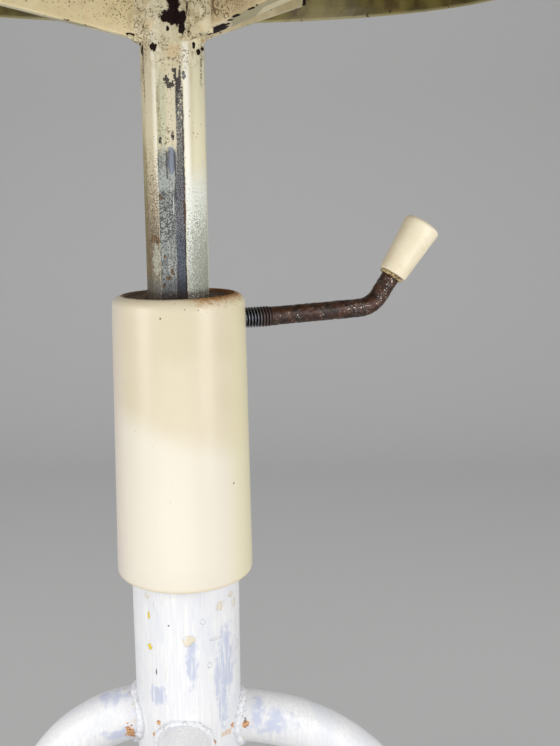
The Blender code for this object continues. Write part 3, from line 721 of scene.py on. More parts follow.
def legs_look():
    """The legs' repaint, with bluish patches, and rust and stains near the column."""
    look, color, rough, normal = white_look("leg_white")
    x = look.dot((1, 0, 0))
    z = look.height(SLEEVE_TOP)
    front = look.step(look.dot((0, -1, 0)), -2.0, 3.0)
    blue = look.blobs(x, z, [
        ((43.0, -219.0), (10.5, 6.5), 0.5, 0.12, 0.3),
        ((35.0, -214.0), (3.2, 8.0), 0.5, 0.2, 0.3),
        ((-40.0, -205.0), (11.0, 3.8), 0.5, 0.15, 0.3),
        ((-36.0, -222.0), (8.0, 3.0), 0.6, 0.15, 0.3)])
    brushed = look.patches(0.2, 3, 0.34, 0.6)
    color = look.lay(color, srgb(200, 205, 224), blue, front, brushed, 0.95)
    near = look.step(look.radius(), 36, 27.5)
    stain = look.both(near, look.patches(0.33, 4, 0.54, 0.68))
    color = look.lay(color, srgb(216, 190, 146), stain, 0.55)
    color = repaint_rust(look, color, look.either(
        look.both(look.blob(x, z, (-28.6, -221.0), (2.0, 4.6), 0.8, 0.4), front),
        look.both(look.blob(x, z, (29.0, -219.0), (1.6, 2.0), 0.8, 0.5), front),
        look.both(near, look.patches(0.3, 4, 0.66, 0.72))))
    cracks = look.both(look.band(x, 27.5, 29.5, 0.5), look.band(z, -221, -201, 2.0),
                       look.patches(0.6, 4, 0.5, 0.6), front)
    color = look.lay(color, srgb(96, 70, 54), cracks, 0.8)
    color = look.lay(color, srgb(86, 66, 52), look.both(front, look.blobs(x, z, [
        ((34.9, -203.4), (0.5, 0.5), 0.1, 1.0),
        ((29.4, -203.0), (0.9, 0.8), 0.3, 1.0)])), 0.85)
    low = look.both(look.step(look.height(0.0), 90, 30), look.patches(0.5, 4, 0.56, 0.66))
    color = look.lay(color, srgb(160, 154, 146), low, 0.45)
    return look.done(color, rough, 0.0, normal, 0.1)


def arm_look(side_name):
    """Yellowed enamel with pits, chips, grey painted shade on a stretch underneath, and grime with
    painted shade where the welds end.
    """
    look = Look("arm_enamel_" + side_name)
    azimuth = arm_azimuth(side_name)
    reach = look.dot((math.cos(azimuth), math.sin(azimuth), 0))
    side = look.dot((-math.sin(azimuth), math.cos(azimuth), 0))
    z = look.height(SLEEVE_TOP)
    rise = look.minus(z, look.plus(look.times(reach, ARM_SLOPE), ARM_BOTTOM / MM))
    traits = ARM_TRAITS[side_name]
    color = enamel_base(look, traits["light"], traits["dark"], 0.1)
    stain = look.patches(0.16, 4, 0.5, 0.68)
    color = look.lay(color, srgb(190, 164, 120), stain, look.step(rise, 4, 14), 0.6)
    color = look.lay(color, srgb(232, 204, 162), look.patches(0.1, 2, 0.58, 0.68), 0.5)
    clear = 0.58 - traits["pitted"]
    pits = look.both(look.step(look.cells(0.8), 0.3, 0.18),
                     look.patches(0.13, 3, clear, clear + 0.1),
                     look.step(rise, traits["pits_from"], traits["pits_from"] + 4))
    color = look.lay(color, srgb(96, 72, 44), pits, 0.9)
    color = look.lay(color, srgb(104, 78, 46), look.grains(traits["specks"], 1.3),
                     look.step(rise, 1, 3), look.step(reach, 56, 40), 0.85)
    fissures = look.both(look.cracks(0.16), look.patches(0.09, 2, 0.56, 0.62))
    color = look.lay(color, srgb(124, 98, 62), fissures, look.step(rise, 2, 6), 0.6)
    crater = look.both(look.band(look.cells(0.17), 0.16, 0.24, 0.025),
                       look.patches(0.05, 1, 0.47, 0.52))
    color = look.lay(color, srgb(104, 78, 46), crater, 0.8)

    end = traits["weld_end"]
    # Grime with painted shade in the crease where the weld ends on the arm's face.
    crease_shade_and_grime = look.both(look.band(reach, end - 0.6, end + 1.8, 1.2),
                       look.patches(0.35, 4, 0.36, 0.54))
    color = look.lay(color, srgb(112, 84, 48), crease_shade_and_grime, look.step(rise, 1, 5), traits["grime"])

    # The lower face: cream, and grey painted shade past a slanting line, narrowing outward.
    face = look.step(rise, 0.25, 0.5)
    under = look.outside(face)
    past = look.plus(reach, look.times(side, 0.87))
    limit = look.math("MAXIMUM", look.minus(33.3, look.times(reach, 0.62)), -1.0)
    grey = look.both(look.step(past, 35, 37.5),
                     look.step(look.minus(side, limit), 0.5, -0.5))
    under_face_with_shade = look.mix(grey, srgb(228, 214, 174), srgb(178, 168, 128))
    color = look.mix(under, color, under_face_with_shade)
    spots = []
    for at, across, radii, place in ARM_CHIPS[side_name]:
        axis, mask = (side, under) if place == "under" else (rise, face)
        spots.append(look.both(look.blob(reach, axis, (at, across), radii, 0.4, 0.6), mask))
    wear = look.both(look.step(rise, 0.9, 0.5), look.patches(0.4, 4, 0.66, 0.69))
    chips = look.either(*spots, wear, look.patches(0.2, 4, 0.735, 0.75))
    color = look.mix(chips, color, CHIP)
    rough = look.blend(look.either(chips, pits), 0.36, 0.7)
    relief = look.minus(look.noise(0.4, 4),
                       look.times(look.either(pits, chips, crater), 0.8))
    return look.done(color, rough, 0.0, look.bump(relief, 0.3 * MM),
                     shine=look.blend(chips, 0.5, CHIP_SHINE))


def weld_look():
    """The cream enamel over the arms' welds, cracked and chipped."""
    look = Look("weld_enamel")
    u, z, front = post_axes(look)
    color = enamel_base(look, srgb(238, 226, 192), srgb(218, 204, 164), 0.1)
    color = look.lay(color, srgb(232, 204, 160), look.patches(0.12, 2, 0.56, 0.66), 0.55)
    cracks = look.both(look.cracks(0.2, 0.014), look.patches(0.1, 2, 0.47, 0.54))
    color = look.lay(color, srgb(104, 78, 46), cracks, 0.85)
    clusters = look.patches(0.14, 2, 0.44, 0.56)
    color = look.lay(color, srgb(112, 84, 48), look.grains(0.3, 1.3), clusters, 0.85)
    chips = look.either(look.patches(0.34, 3, 0.715, 0.73),
                        look.both(joint_chips(look, u, z), front))
    color = look.mix(chips, color, CHIP)
    rough = look.blend(chips, 0.24, 0.7)
    relief = look.minus(look.noise(0.5, 4),
                       look.times(look.either(cracks, chips), 0.7))
    return look.done(color, rough, 0.0, look.bump(relief, 0.5 * MM),
                     shine=look.blend(chips, 0.5, CHIP_SHINE))


def white_weld_look():
    look = Look("weld_white")
    color = look.mix(look.noise(0.4, 3), srgb(230, 232, 238), srgb(244, 244, 245))
    rust = look.patches(0.24, 4, 0.62, 0.68)
    color = repaint_rust(look, color, rust)
    color = look.lay(color, srgb(98, 82, 70), look.cracks(0.3, 0.014),
                     look.patches(0.1, 2, 0.48, 0.56), 0.7)
    rough = look.blend(rust, 0.4, 0.75)
    return look.done(color, rough, 0.0, look.bump(look.noise(0.7, 4), 0.5 * MM), 0.1)


def pan_look():
    """Cream enamel outside; the underside and the rim's inside are painted darker as shade, and
    stained.
    """
    look = Look("pan_enamel")
    z = look.height(RIM_LOW)
    top = (PAN_HIGH - RIM_LOW) / MM
    outer = PAN_R / MM
    corner = PAN_EDGE_R / MM
    out = look.math("MAXIMUM", look.minus(look.radius(), outer - corner), 0.0)
    up = look.math("MAXIMUM", look.minus(z, top - corner), 0.0)
    outside = look.step(look.hypot(out, up), corner - 1.0, corner - 0.6)
    cream = enamel_base(look, srgb(232, 222, 190), srgb(210, 198, 160))
    # Painted shade: a dark olive for the underside and the rim's inside.
    painted_shade_olive = enamel_base(look, srgb(142, 128, 62), srgb(98, 86, 32), 0.0)
    # Painted highlight along the rim's lower edge.
    painted_shade_olive = look.lay(painted_shade_olive, srgb(196, 186, 138), look.step(z, 1.8, 0.6), 0.7)
    brown = look.both(look.step(look.noise(0.09, 4, look.stretch((1, 1, 0.5))), 0.5, 0.64),
                      look.step(z, 1.0, 4.0))
    painted_shade_olive = look.lay(painted_shade_olive, srgb(86, 62, 26), brown, 0.75)
    color = look.mix(outside, painted_shade_olive, cream)
    rim_rust = look.both(look.step(z, 9, 2), look.patches(0.22, 4, 0.62, 0.69))
    spots = look.either(rim_rust, look.patches(0.16, 4, 0.70, 0.735))
    tone = look.mix(look.patches(1.0, 3, 0.4, 0.6), srgb(74, 46, 30), srgb(140, 88, 46))
    color = look.mix(look.times(spots, 0.85), color, tone)
    scuffs = look.step(look.noise(0.5, 4, look.stretch((1, 0.16, 1))), 0.66, 0.72)
    color = look.lay(color, srgb(160, 146, 112), scuffs, 0.35)
    rough = look.blend(spots, look.blend(look.noise(0.06, 3), 0.28, 0.45), 0.75)
    relief = look.minus(look.noise(0.25, 4), look.times(spots, 0.6))
    return look.done(color, rough, 0.0, look.bump(relief, 0.2 * MM))


def rod_look():
    """Dark rust with pale flecks left of the old plating."""
    look = Look("rod_rust")
    color = look.mix(look.patches(0.22, 4, 0.35, 0.65), srgb(34, 20, 14), srgb(68, 39, 25))
    color = look.lay(color, srgb(112, 68, 40), look.patches(0.9, 4, 0.56, 0.68), 0.5)
    patch = look.patches(0.2, 2, 0.5, 0.58)
    flecks = look.both(look.grains(0.16, 1.5), patch)
    color = look.lay(color, srgb(200, 188, 172), flecks, 0.75)
    rough = look.blend(flecks, 0.42, 0.2)
    metal = look.blend(flecks, 0.2, 0.8)
    normal = look.bump(look.noise(0.6, 4), 0.35 * MM)
    return look.done(color, rough, metal, look.bump(look.noise(2.5, 3), 0.08 * MM, normal))


def thread_look():
    """Steel ridges, painted light on the crests and painted shade in the roots, going brown towards
    the plain rod.
    """
    look = Look("thread_steel")
    across = look.dot((-CLAMP_AXIS.y, CLAMP_AXIS.x, 0))
    rise = look.height(CLAMP_Z)
    # Painted highlight on the thread's crests and painted shade in its roots.
    ridge = look.step(look.hypot(across, rise), 4.3, 4.8)
    color = look.mix(ridge, srgb(26, 25, 27), srgb(122, 127, 136))
    outward = look.dot(tuple(CLAMP_AXIS))
    brown = look.either(look.step(outward, 36.5, 41.5), look.patches(0.4, 3, 0.6, 0.68))
    color = look.lay(color, srgb(86, 60, 46), brown, 0.65)
    rough = look.blend(brown, 0.26, 0.5)
    return look.done(color, rough, 0.8, look.bump(look.noise(1.6, 3), 0.03 * MM))


def knob_look():
    look = Look("knob_plastic")
    color = look.mix(look.patches(0.08, 3, 0.35, 0.65),
                     srgb(234, 220, 190), srgb(243, 232, 204))
    grime = look.patches(0.4, 4, 0.62, 0.74)
    color = look.mix(look.times(grime, 0.18), color, srgb(206, 182, 140))
    rough = look.blend(look.noise(0.4, 3), 0.34, 0.46)
    return look.done(color, rough, 0.0, look.bump(look.noise(0.35, 3), 0.06 * MM), 0.05)


def glue_look():
    look = Look("knob_glue")
    color = look.mix(look.patches(0.9, 4, 0.4, 0.6), srgb(96, 68, 40), srgb(206, 184, 136))
    return look.done(color, 0.6, 0.0, look.bump(look.noise(1.2, 4), 0.3 * MM))


def bush_look():
    look = Look("bush_rust")
    color = look.mix(look.patches(0.5, 5, 0.38, 0.62), srgb(42, 25, 13), srgb(106, 70, 34))
    bits = look.step(look.cells(0.7), 0.26, 0.14)
    color = look.mix(look.times(bits, 0.7), color, srgb(196, 182, 156))
    return look.done(color, look.blend(look.noise(0.8, 3), 0.5, 0.85), 0.0,
                     look.bump(look.noise(0.6, 5), 0.8 * MM))


def plain_look(name, light, dark, rough, metal=0.0, scale=0.4, depth=0.05):
    """A quiet surface for small fittings: two close tones, fine grain, slight relief."""
    look = Look(name)
    color = look.mix(look.step(look.noise(scale, 4), 0.35, 0.65), dark, light)
    spread = look.blend(look.noise(scale * 3, 3), rough * 0.8, min(1.0, rough * 1.2))
    return look.done(color, spread, metal, look.bump(look.noise(scale * 4, 3), depth * MM))


# ------------------------------------------------------------------------ pieces

def build_post():
    """The post tube with its long flat, which runs out to the round near the top."""
    around = 180
    shoe_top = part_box("post_guide_shoe")[1].z
    flat_low = shoe_top + 12 * MM
    flat_high = SLEEVE_TOP + 102 * MM
    runout = 14 * MM
    bore = POST_R - 2.5 * MM
    heights = [POST_LOW, flat_low - 0.05 * MM, flat_low]
    heights += [flat_low + (flat_high - runout - flat_low) * i / 24 for i in range(1, 25)]
    heights += [flat_high - runout + runout * i / 8 for i in range(1, 9)]
    heights += [POST_HIGH]
    rows = []
    for z in heights:
        depth = 0.0
        if flat_low <= z <= flat_high:
            depth = FLAT_DEPTH * min(1.0, (flat_high - z) / runout)
        ring = []
        for a in full_turn(around):
            toward = math.cos(a - FLAT_AZIMUTH)
            r = POST_R
            if depth and toward > 0.5:
                r = min(r, (POST_R - depth) / toward)
            ring.append(polar(r, a, z))
        rows.append(ring)
    rows += [[polar(bore, a, z) for a in full_turn(around)] for z in (POST_HIGH, POST_LOW)]
    obj = new_object("post", skin(rows, close_rows=True), 12)
    finish_piece(obj, "top", post_look(), "cream_paint", "post_tube")


def sleeve_profile():
    """The sleeve's section, round from the mouth over the outside and back up inside."""
    top_r, low_r = SLEEVE_TOP_R, SLEEVE_LOW_R
    mouth, edge, wall = 26.0 * MM, 6.0 * MM, 3.0 * MM

    def outer(z):
        return top_r + (low_r - top_r) * (SLEEVE_TOP - z) / (SLEEVE_TOP - SLEEVE_BOTTOM)

    start = math.acos((mouth + 0.15 * MM - top_r + edge) / edge)
    lip = arc((top_r - edge, SLEEVE_TOP - edge), edge, start, 0, 14)
    levels = [SLEEVE_TOP - 12 * MM - 14 * MM * i for i in range(9)]
    side = [(outer(z), z) for z in levels]
    foot = [(low_r - 0.05 * MM, SLEEVE_BOTTOM + 1.6 * MM),
            (low_r - 0.3 * MM, SLEEVE_BOTTOM + 0.6 * MM),
            (low_r - 0.9 * MM, SLEEVE_BOTTOM)]
    collar = COLUMN_R + 0.3 * MM
    inside = [(low_r - wall, SLEEVE_BOTTOM), (low_r - wall - 0.2 * MM, SLEEVE_BOTTOM + 0.6 * MM),
              (outer(SLEEVE_TOP - 28 * MM) - wall, SLEEVE_TOP - 28 * MM),
              (collar, SLEEVE_TOP - 24 * MM), (collar, COLUMN_HIGH + 0.3 * MM),
              (mouth, COLUMN_HIGH + 0.3 * MM), (mouth, SLEEVE_TOP - 0.6 * MM)]
    return lip + side + foot + inside


def slope_mouth(point):
    """The mouth falls towards the back and, a little, towards the left."""
    base = COLUMN_HIGH + 0.5 * MM
    share = max(0.0, (point.z - base) / (SLEEVE_TOP - base))
    fall = 1.6 * MM * (1 + point.y / SLEEVE_TOP_R) - 0.6 * MM * point.x / SLEEVE_TOP_R
    return point - Vector((0, 0, share * max(0.0, fall)))


def pierce(obj):
    """Cut the clamp screw's hole through a wall."""
    bm = bmesh.new()
    bmesh.ops.create_cone(bm, cap_ends=True, segments=48, radius1=CLAMP_HOLE_R,
                          radius2=CLAMP_HOLE_R, depth=CLAMP_HOLE_LONG)
    drill = new_object("drill", bm)
    at = CLAMP_HOLE_FROM + CLAMP_HOLE_LONG / 2
    drill.matrix_world = (Matrix.Translation((CLAMP_AXIS.x * at, CLAMP_AXIS.y * at, CLAMP_Z))
                          @ heading(CLAMP_AXIS))
    mod = obj.modifiers.new("hole", "BOOLEAN")
    mod.operation = "DIFFERENCE"
    mod.object = drill
    bpy.context.view_layer.update()
    depsgraph = bpy.context.evaluated_depsgraph_get()
    mesh = bpy.data.meshes.new_from_object(obj.evaluated_get(depsgraph))
    obj.modifiers.clear()
    obj.data = mesh
    bpy.data.objects.remove(drill, do_unlink=True)
    mesh.shade_smooth()
    mesh.set_sharp_from_angle(angle=math.radians(40))


def build_sleeve():
    """The moulded cover, its mouth sloped and its wall pierced for the clamp screw."""
    obj = turned("sleeve", sleeve_profile(), 144, closed=True, bump=slope_mouth)
    pierce(obj)
    finish_piece(obj, "base", sleeve_look(), "cream_plastic", "sleeve_cover")


def build_column():
    """The column tube, with shallow dents brushed down its outside."""
    wall, dent = 3.0 * MM, 0.12 * MM
    rows = 30
    outer = [(COLUMN_R, COLUMN_HIGH - (COLUMN_HIGH - COLUMN_LOW) * i / rows)
             for i in range(rows + 1)]
    profile = outer + [(COLUMN_R - wall, COLUMN_LOW), (COLUMN_R - wall, COLUMN_HIGH)]

    def brushed(point):
        if point.xy.length < COLUMN_R - wall / 2:
            return point
        wave = noise.noise(Vector((point.x, point.y, point.z * 0.25)) / MM * 0.16)
        outward = Vector((point.x, point.y, 0)).normalized()
        return point - outward * (dent * max(wave, 0.0))

    obj = turned("column", profile, 144, closed=True, bump=brushed)
    pierce(obj)
    finish_piece(obj, "base", column_look(), "white_paint", "column_tube")


def leg_shape(side):
    """Bend centre and radius of a leg, and how far it turns down from level."""
    radius = LEG_BEND_R[side]
    center = Vector((LEG_BEND_START, LEG_AXIS_Z + LEG_LIFT[side] - radius))
    to_foot = Vector((FOOT_CIRCLE_R, 0.0)) - center
    tangent_angle = math.atan2(to_foot.y, to_foot.x) + math.acos(radius / to_foot.length)
    return center, radius, math.pi / 2 - tangent_angle


def leg_path(side):
    """Points along a leg's centre line, from the column to inside its ferrule."""
    center, radius, turn = leg_shape(side)
    start = math.sqrt(COLUMN_R ** 2 - (LEG_R * 0.4) ** 2) - 1 * MM
    bend = arc(center, radius, math.pi / 2, math.pi / 2 - turn, 48)
    bend = [(x, z) for x, z in bend if x > start]
    x, z = bend[-1]
    foot_x = x + (z - LEG_END_Z) / math.tan(turn)
    straight = [(x + (foot_x - x) * i / 24, z + (LEG_END_Z - z) * i / 24) for i in range(1, 25)]
    turn_to = Matrix.Rotation(leg_azimuth(side), 3, "Z")
    return [turn_to @ Vector((px, 0, pz)) for px, pz in [(start, bend[0][1])] + bend + straight]


def build_legs():
    """Four bent tubes, each with a bead of weld round its joint with the column."""
    look = legs_look()
    bead_look = white_weld_look()
    for side in LEG_SIDES:
        rows = swept(leg_path(side), LEG_R - 0.12 * MM, 48, 0.16 * MM, 0.05)
        leg = new_object("leg_tube_" + side, skin(rows, caps=True))
        finish_piece(leg, "base", look, "white_paint", "leg_" + side)
        bead = new_object("leg_weld_" + side, skin(leg_weld_rows(side), close_rows=True), 60)
        finish_piece(bead, "base", bead_look, "white_paint")


def leg_weld_rows(side):
    """A lumpy bead where a leg meets the column."""
    turn_to = Matrix.Rotation(leg_azimuth(side), 3, "Z")
    level = LEG_AXIS_Z + LEG_LIFT[side] - 0.6 * MM
    along = Vector((1, 0, 0))
    rows = []
    for t in full_turn(90):
        y = LEG_R * math.cos(t)
        rise = LEG_R * math.sin(t)
        x = math.sqrt(COLUMN_R ** 2 - y ** 2)
        droop = 0.7 * MM * max(0.0, math.sin(t))
        center = Vector((x + 0.4 * MM, y, level - droop + rise))
        outward = Vector((0, math.cos(t), math.sin(t)))
        seed = turn_to @ center / MM
        swell = 2.1 * MM + 0.9 * MM * noise.noise(seed * 0.35) + 0.25 * MM * math.sin(t * 26)
        ring = []
        for a in full_turn(16):
            spot = center + outward * math.cos(a) * swell * 0.85 + along * math.sin(a) * swell
            rough = 0.4 * MM * noise.noise(turn_to @ spot / MM * 0.9)
            ring.append(turn_to @ (spot + (spot - center).normalized() * rough))
        rows.append(ring)
    return rows


def arm_bottom(x):
    """The level of an arm's lower edge at a distance along it."""
    return SLEEVE_TOP + ARM_BOTTOM + ARM_SLOPE * x


def arm_ring(x_of, half, low_of, high, radius, steps=5):
    """One ring round an arm: rounded rectangle in y and z, with x set by y."""
    corners = [(half - radius, 1, 0.0), (-half + radius, 1, math.pi / 2),
               (-half + radius, -1, math.pi), (half - radius, -1, 1.5 * math.pi)]
    ring = []
    for cy, level, start in corners:
        for i in range(steps + 1):
            a = start + math.pi / 2 * i / steps
            y = cy + radius * math.cos(a)
            x = x_of(y)
            cz = high - radius if level > 0 else low_of(x) + radius
            ring.append(Vector((x, y, cz + radius * math.sin(a))))
    return ring


def arm_shell(azimuth, high, radius, inset, count=40):
    """Rings from the post to an arm's outer end, for its outside or, inset, its inside."""
    turn_to = Matrix.Rotation(azimuth, 3, "Z")
    rings = []
    for k in range(count + 1):
        def x_of(y, part=k / count):
            root = math.sqrt((POST_R + 0.15 * MM) ** 2 - y ** 2)
            return root + (ARM_REACH - root) * part
        ring = arm_ring(x_of, ARM_HALF - inset, lambda x: arm_bottom(x) + inset,
                        high - inset, radius)
        rings.append([turn_to @ dented(p, inset) for p in ring])
    return rings


def build_arms():
    """Folded box arms, each with a bead of weld down both sides and drops underneath."""
    bead_look = weld_look()
    for side in ARM_SIDES:
        azimuth = arm_azimuth(side)
        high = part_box("arm_" + side)[1].z
        rows = arm_shell(azimuth, high, ARM_FOLD_R, 0.0)
        rows += arm_shell(azimuth, high, 0.4 * MM, ARM_WALL)[::-1]
        arm = new_object("arm_box_" + side, skin(rows, close_rows=True), 50)
        finish_piece(arm, "top", arm_look(side), "cream_paint", "arm_" + side)
        for face, section in ARM_WELDS[side].items():
            bead = new_object("arm_weld_%s_%s" % (side, face),
                              arm_weld(azimuth, section, 1 if face == "left" else -1, high), 60)
            finish_piece(bead, "top", bead_look, "cream_paint")
        lumps = new_object("arm_weld_lumps_" + side, weld_lumps(azimuth), 60)
        finish_piece(lumps, "top", bead_look, "cream_paint")


def dented(point, inset):
    """Hand-worked unevenness of the outer faces."""
    if inset:
        return point
    return point + Vector((0, -math.copysign(1, point.y), 0)) * (
        0.15 * MM * (0.5 + 0.5 * noise.noise(point / MM * 0.08)))


def spline(points, steps):
    """Points on a smooth curve through the given points."""
    ends = [points[0] * 2 - points[1]] + points + [points[-1] * 2 - points[-2]]
    result = []
    for a, b, c, d in zip(ends, ends[1:], ends[2:], ends[3:]):
        for i in range(steps):
            t = i / steps
            result.append(0.5 * (2 * b + (c - a) * t + (2 * a - 5 * b + 4 * c - d) * t * t
                                 + (3 * b - a - 3 * c + d) * t ** 3))
    return result + [points[-1]]


# Outer outlines of the welds beside an arm, seen from above in mm: distance along the
# arm, and distance from its centre line. Each runs from the arm's face to the post.
CORNER_WELD = [(16.4, 5.7), (15.2, 6.4), (13.8, 7.1), (12.4, 8.1), (11.0, 9.4), (10.2, 9.9)]
BROAD_WELD = [(16.6, 5.7), (15.2, 6.5), (13.6, 7.2), (12.0, 8.5), (10.4, 10.2), (8.8, 11.6),
              (7.8, 11.8)]
PADDED_WELD = [(30.4, 5.7), (29.0, 7.4), (26.0, 8.7), (22.0, 9.1), (18.4, 8.6), (15.8, 7.8),
               (13.6, 7.4), (12.0, 8.0), (11.2, 8.7)]
ARM_WELDS = {
    "left": {"left": BROAD_WELD, "right": CORNER_WELD},
    "back": {"left": CORNER_WELD, "right": CORNER_WELD},
    "front": {"left": CORNER_WELD, "right": PADDED_WELD},
}
# Chips on the arms: distance along, then across the lower face or up the side face,
# the chip's half sizes in mm, and the face it is on.
ARM_CHIPS = {
    "left": [(18.2, 1.0, (1.7, 0.8), "side")],
    "back": [(119.0, 2.0, (3.0, 1.8), "side")],
    "front": [(26.0, 1.2, (6.6, 3.3), "under"), (31.0, -1.0, (4.4, 2.4), "under"),
              (38.7, -3.4, (1.2, 1.5), "under"), (43.6, -4.8, (1.9, 1.3), "under"),
              (52.2, -5.2, (1.7, 1.0), "under")],
}
# How each arm's enamel has aged: its two tones, the share of its faces that is pitted and
# from what height in mm, the share covered by fine specks, where its welds end along it
# in mm, and how dark the crease is there, with grime and painted shade.
ARM_TRAITS = {
    "left": {"light": srgb(250, 234, 192), "dark": srgb(234, 215, 168), "pitted": 0.14,
             "pits_from": 3, "specks": 0.04, "weld_end": 17.4, "grime": 0.25},
    "back": {"light": srgb(236, 222, 182), "dark": srgb(216, 200, 156), "pitted": 0.12,
             "pits_from": 3, "specks": 0.04, "weld_end": 17.0, "grime": 0.3},
    "front": {"light": srgb(224, 203, 158), "dark": srgb(196, 172, 128), "pitted": 0.26,
              "pits_from": 0.5, "specks": 0.26, "weld_end": 31.2, "grime": 0.9},
}


def arm_weld(azimuth, section, hand, high):
    """Weld metal filling the corner between one side of an arm and the post."""
    turn_to = Matrix.Rotation(azimuth, 3, "Z")
    outline = spline([Vector(point) * MM for point in section], 5)
    inner_face = 5.2 * MM
    inner_post = POST_R - 0.9 * MM

    def root_of(point):
        on_face = Vector((max(point.x, 12.4 * MM), inner_face))
        on_post = point.normalized() * inner_post
        return min((on_face, on_post), key=lambda spot: (spot - point).length)

    rows = []
    count, taper_from = 46, 0.84
    for k in range(count + 1):
        part = k / count
        past = max(0.0, (part - taper_from) / (1 - taper_from))
        swell = math.sqrt(max(0.0, 1 - past ** 2))
        ring, back = [], []
        for point in outline:
            root = root_of(point)
            spread = point - root
            low = arm_bottom(min(point.x, 24 * MM)) - 0.8 * MM
            z = high - 0.4 * MM + (low - high) * part
            seed = turn_to @ Vector((point.x, point.y * hand, z)) / MM
            lump = 1.0 + 0.42 * noise.noise(seed * 0.22) + 0.22 * noise.noise(seed * 0.6)
            spot = root + spread * (swell * lump)
            ring.append(turn_to @ Vector((spot.x, spot.y * hand, z)))
            inside = root - spread.normalized() * 0.3 * MM
            back.append(turn_to @ Vector((inside.x, inside.y * hand, z)))
        rows.append(ring + back[::-1])
    return skin(rows, caps=True)


def weld_lumps(azimuth):
    """Drops of weld metal under the arm's lower corners by the post."""
    turn_to = Matrix.Rotation(azimuth, 4, "Z")
    bm = bmesh.new()
    # Distance along the arm, share of its half width, and radius, in mm.
    drops = ((13.2, 1.0, 1.5), (15.4, 0.85, 1.0), (18.2, 0.9, 1.25), (13.6, -0.95, 1.6),
             (12.6, 0.0, 1.5), (17.0, -0.8, 1.0), (14.2, 0.45, 1.2), (14.0, -0.4, 1.3))
    for reach, across, radius in drops:
        place = turn_to @ Vector((reach * MM, across * ARM_HALF,
                                  arm_bottom(reach * MM) + 0.2 * MM))
        made = bmesh.ops.create_icosphere(bm, subdivisions=3, radius=radius * MM)
        for vert in made["verts"]:
            rough = 1 + 0.5 * noise.noise((vert.co + place) / MM * 0.7)
            vert.co = place + Vector((vert.co.x, vert.co.y, vert.co.z * 0.8)) * rough
    return bm


def build_pan():
    """The pressed top: a flat sheet with a rounded edge and a turned-down rim."""
    edge, sheet = PAN_EDGE_R, 1.5 * MM
    center = (PAN_R - edge, PAN_HIGH - edge)
    top = [(r * MM, PAN_HIGH) for r in (5, 20, 40, 60, 80, 100, 120, 135, 146)]
    lip = arc((PAN_R - sheet / 2, RIM_LOW + sheet / 2), sheet / 2, 0, -math.pi, 8)
    profile = top + arc(center, edge, math.pi / 2, 0, 14) + lip
    profile += arc(center, edge - sheet, 0, math.pi / 2, 12)
    profile += [(r, PAN_HIGH - sheet) for r, _ in top[::-1]]
    obj = turned("pan", profile, 192)
    finish_piece(obj, "top", pan_look(), "cream_paint", "top_pan")


def clamp_place():
    """Where X is the clamp's axis, outward from the column's axis."""
    return Matrix.Translation((0, 0, CLAMP_Z)) @ Matrix.Rotation(CLAMP_AZIMUTH, 4, "Z")


def build_thread():
    """The right-hand M10 thread, as one helical relief on a cylinder."""
    start, end, pitch = THREAD_START, THREAD_END, 1.5 * MM
    crest, root = 4.95 * MM, 4.1 * MM
    rings_per_pitch = 14
    count = int((end - start) / pitch * rings_per_pitch)
    rows = []
    for k in range(count + 1):
        s = start + (end - start) * k / count
        ring = []
        for a in full_turn(40):
            phase = (s / pitch - a / math.tau) % 1.0
            ridge = 1 - abs(2 * phase - 1)
            ridge = min(1.0, max(0.0, (ridge - 0.12) / 0.68))
            fade = min(1.0, (end - s) / (1.3 * pitch), (s - start) / pitch + 0.1)
            r = root + (crest - root) * (ridge * fade + (1 - fade) * 0.35)
            ring.append(Vector((s, r * math.cos(a), r * math.sin(a))))
        rows.append(ring)
    obj = new_object("clamp_thread", skin(rows, caps=True), 60)
    obj.data.transform(clamp_place())
    finish_piece(obj, "clamp", thread_look(), "rusty_steel")


def build_rod():
    """The pitted rod from the thread to inside the knob, with one bend."""
    radius, bend_r = 4.5 * MM, 13 * MM
    bend_start = ROD_VERTEX.x - bend_r * math.tan(ROD_RISE / 2)
    level = line(Vector((THREAD_END - 0.8 * MM, 0, 0)), Vector((bend_start, 0, ROD_VERTEX.z)), 60)
    bend = [Vector((x, 0, z)) for x, z in
            arc((bend_start, ROD_VERTEX.z + bend_r), bend_r,
                -math.pi / 2, -math.pi / 2 + ROD_RISE, 24)][1:]
    end = ROD_VERTEX + rise_direction() * (KNOB_FROM + 12 * MM)
    path = level + bend + line(bend[-1], end, 40)[1:]
    obj = new_object("clamp_rod", skin(swept(path, radius, 40, 0.28 * MM, 0.55), caps=True), 60)
    obj.data.transform(clamp_place())
    finish_piece(obj, "clamp", rod_look(), "rusty_steel", "clamp_screw")


def rise_direction():
    return Vector((math.cos(ROD_RISE), 0, math.sin(ROD_RISE)))


def knob_place():
    return clamp_place() @ Matrix.Translation(ROD_VERTEX) @ heading(rise_direction())


def build_knob():
    """A plain conical knob with a slightly domed end and a blind socket for the rod."""
    low_r, top_r, edge = 7.15 * MM, 9.25 * MM, 2.2 * MM
    dome_h, foot_r = 0.8 * MM, 0.9 * MM
    start, end = KNOB_FROM, KNOB_FROM + KNOB_LONG
    dome = [(top_r * t, end - dome_h * t * t) for t in (0.04, 0.15, 0.3, 0.45, 0.6)]
    corner = arc((top_r - edge, end - dome_h - edge), edge, math.radians(80), 0, 12)
    foot = arc((low_r - foot_r, start + foot_r), foot_r, 0, -math.pi / 2, 6)
    socket = [(4.9 * MM, start), (4.85 * MM, start + 1 * MM), (4.8 * MM, start + 18 * MM),
              (0.3 * MM, start + 18.3 * MM)]
    obj = turned("knob", dome + corner + foot + socket, 96, angle=50)
    obj.data.transform(knob_place())
    finish_piece(obj, "clamp", knob_look(), "knob_plastic", "clamp_knob")


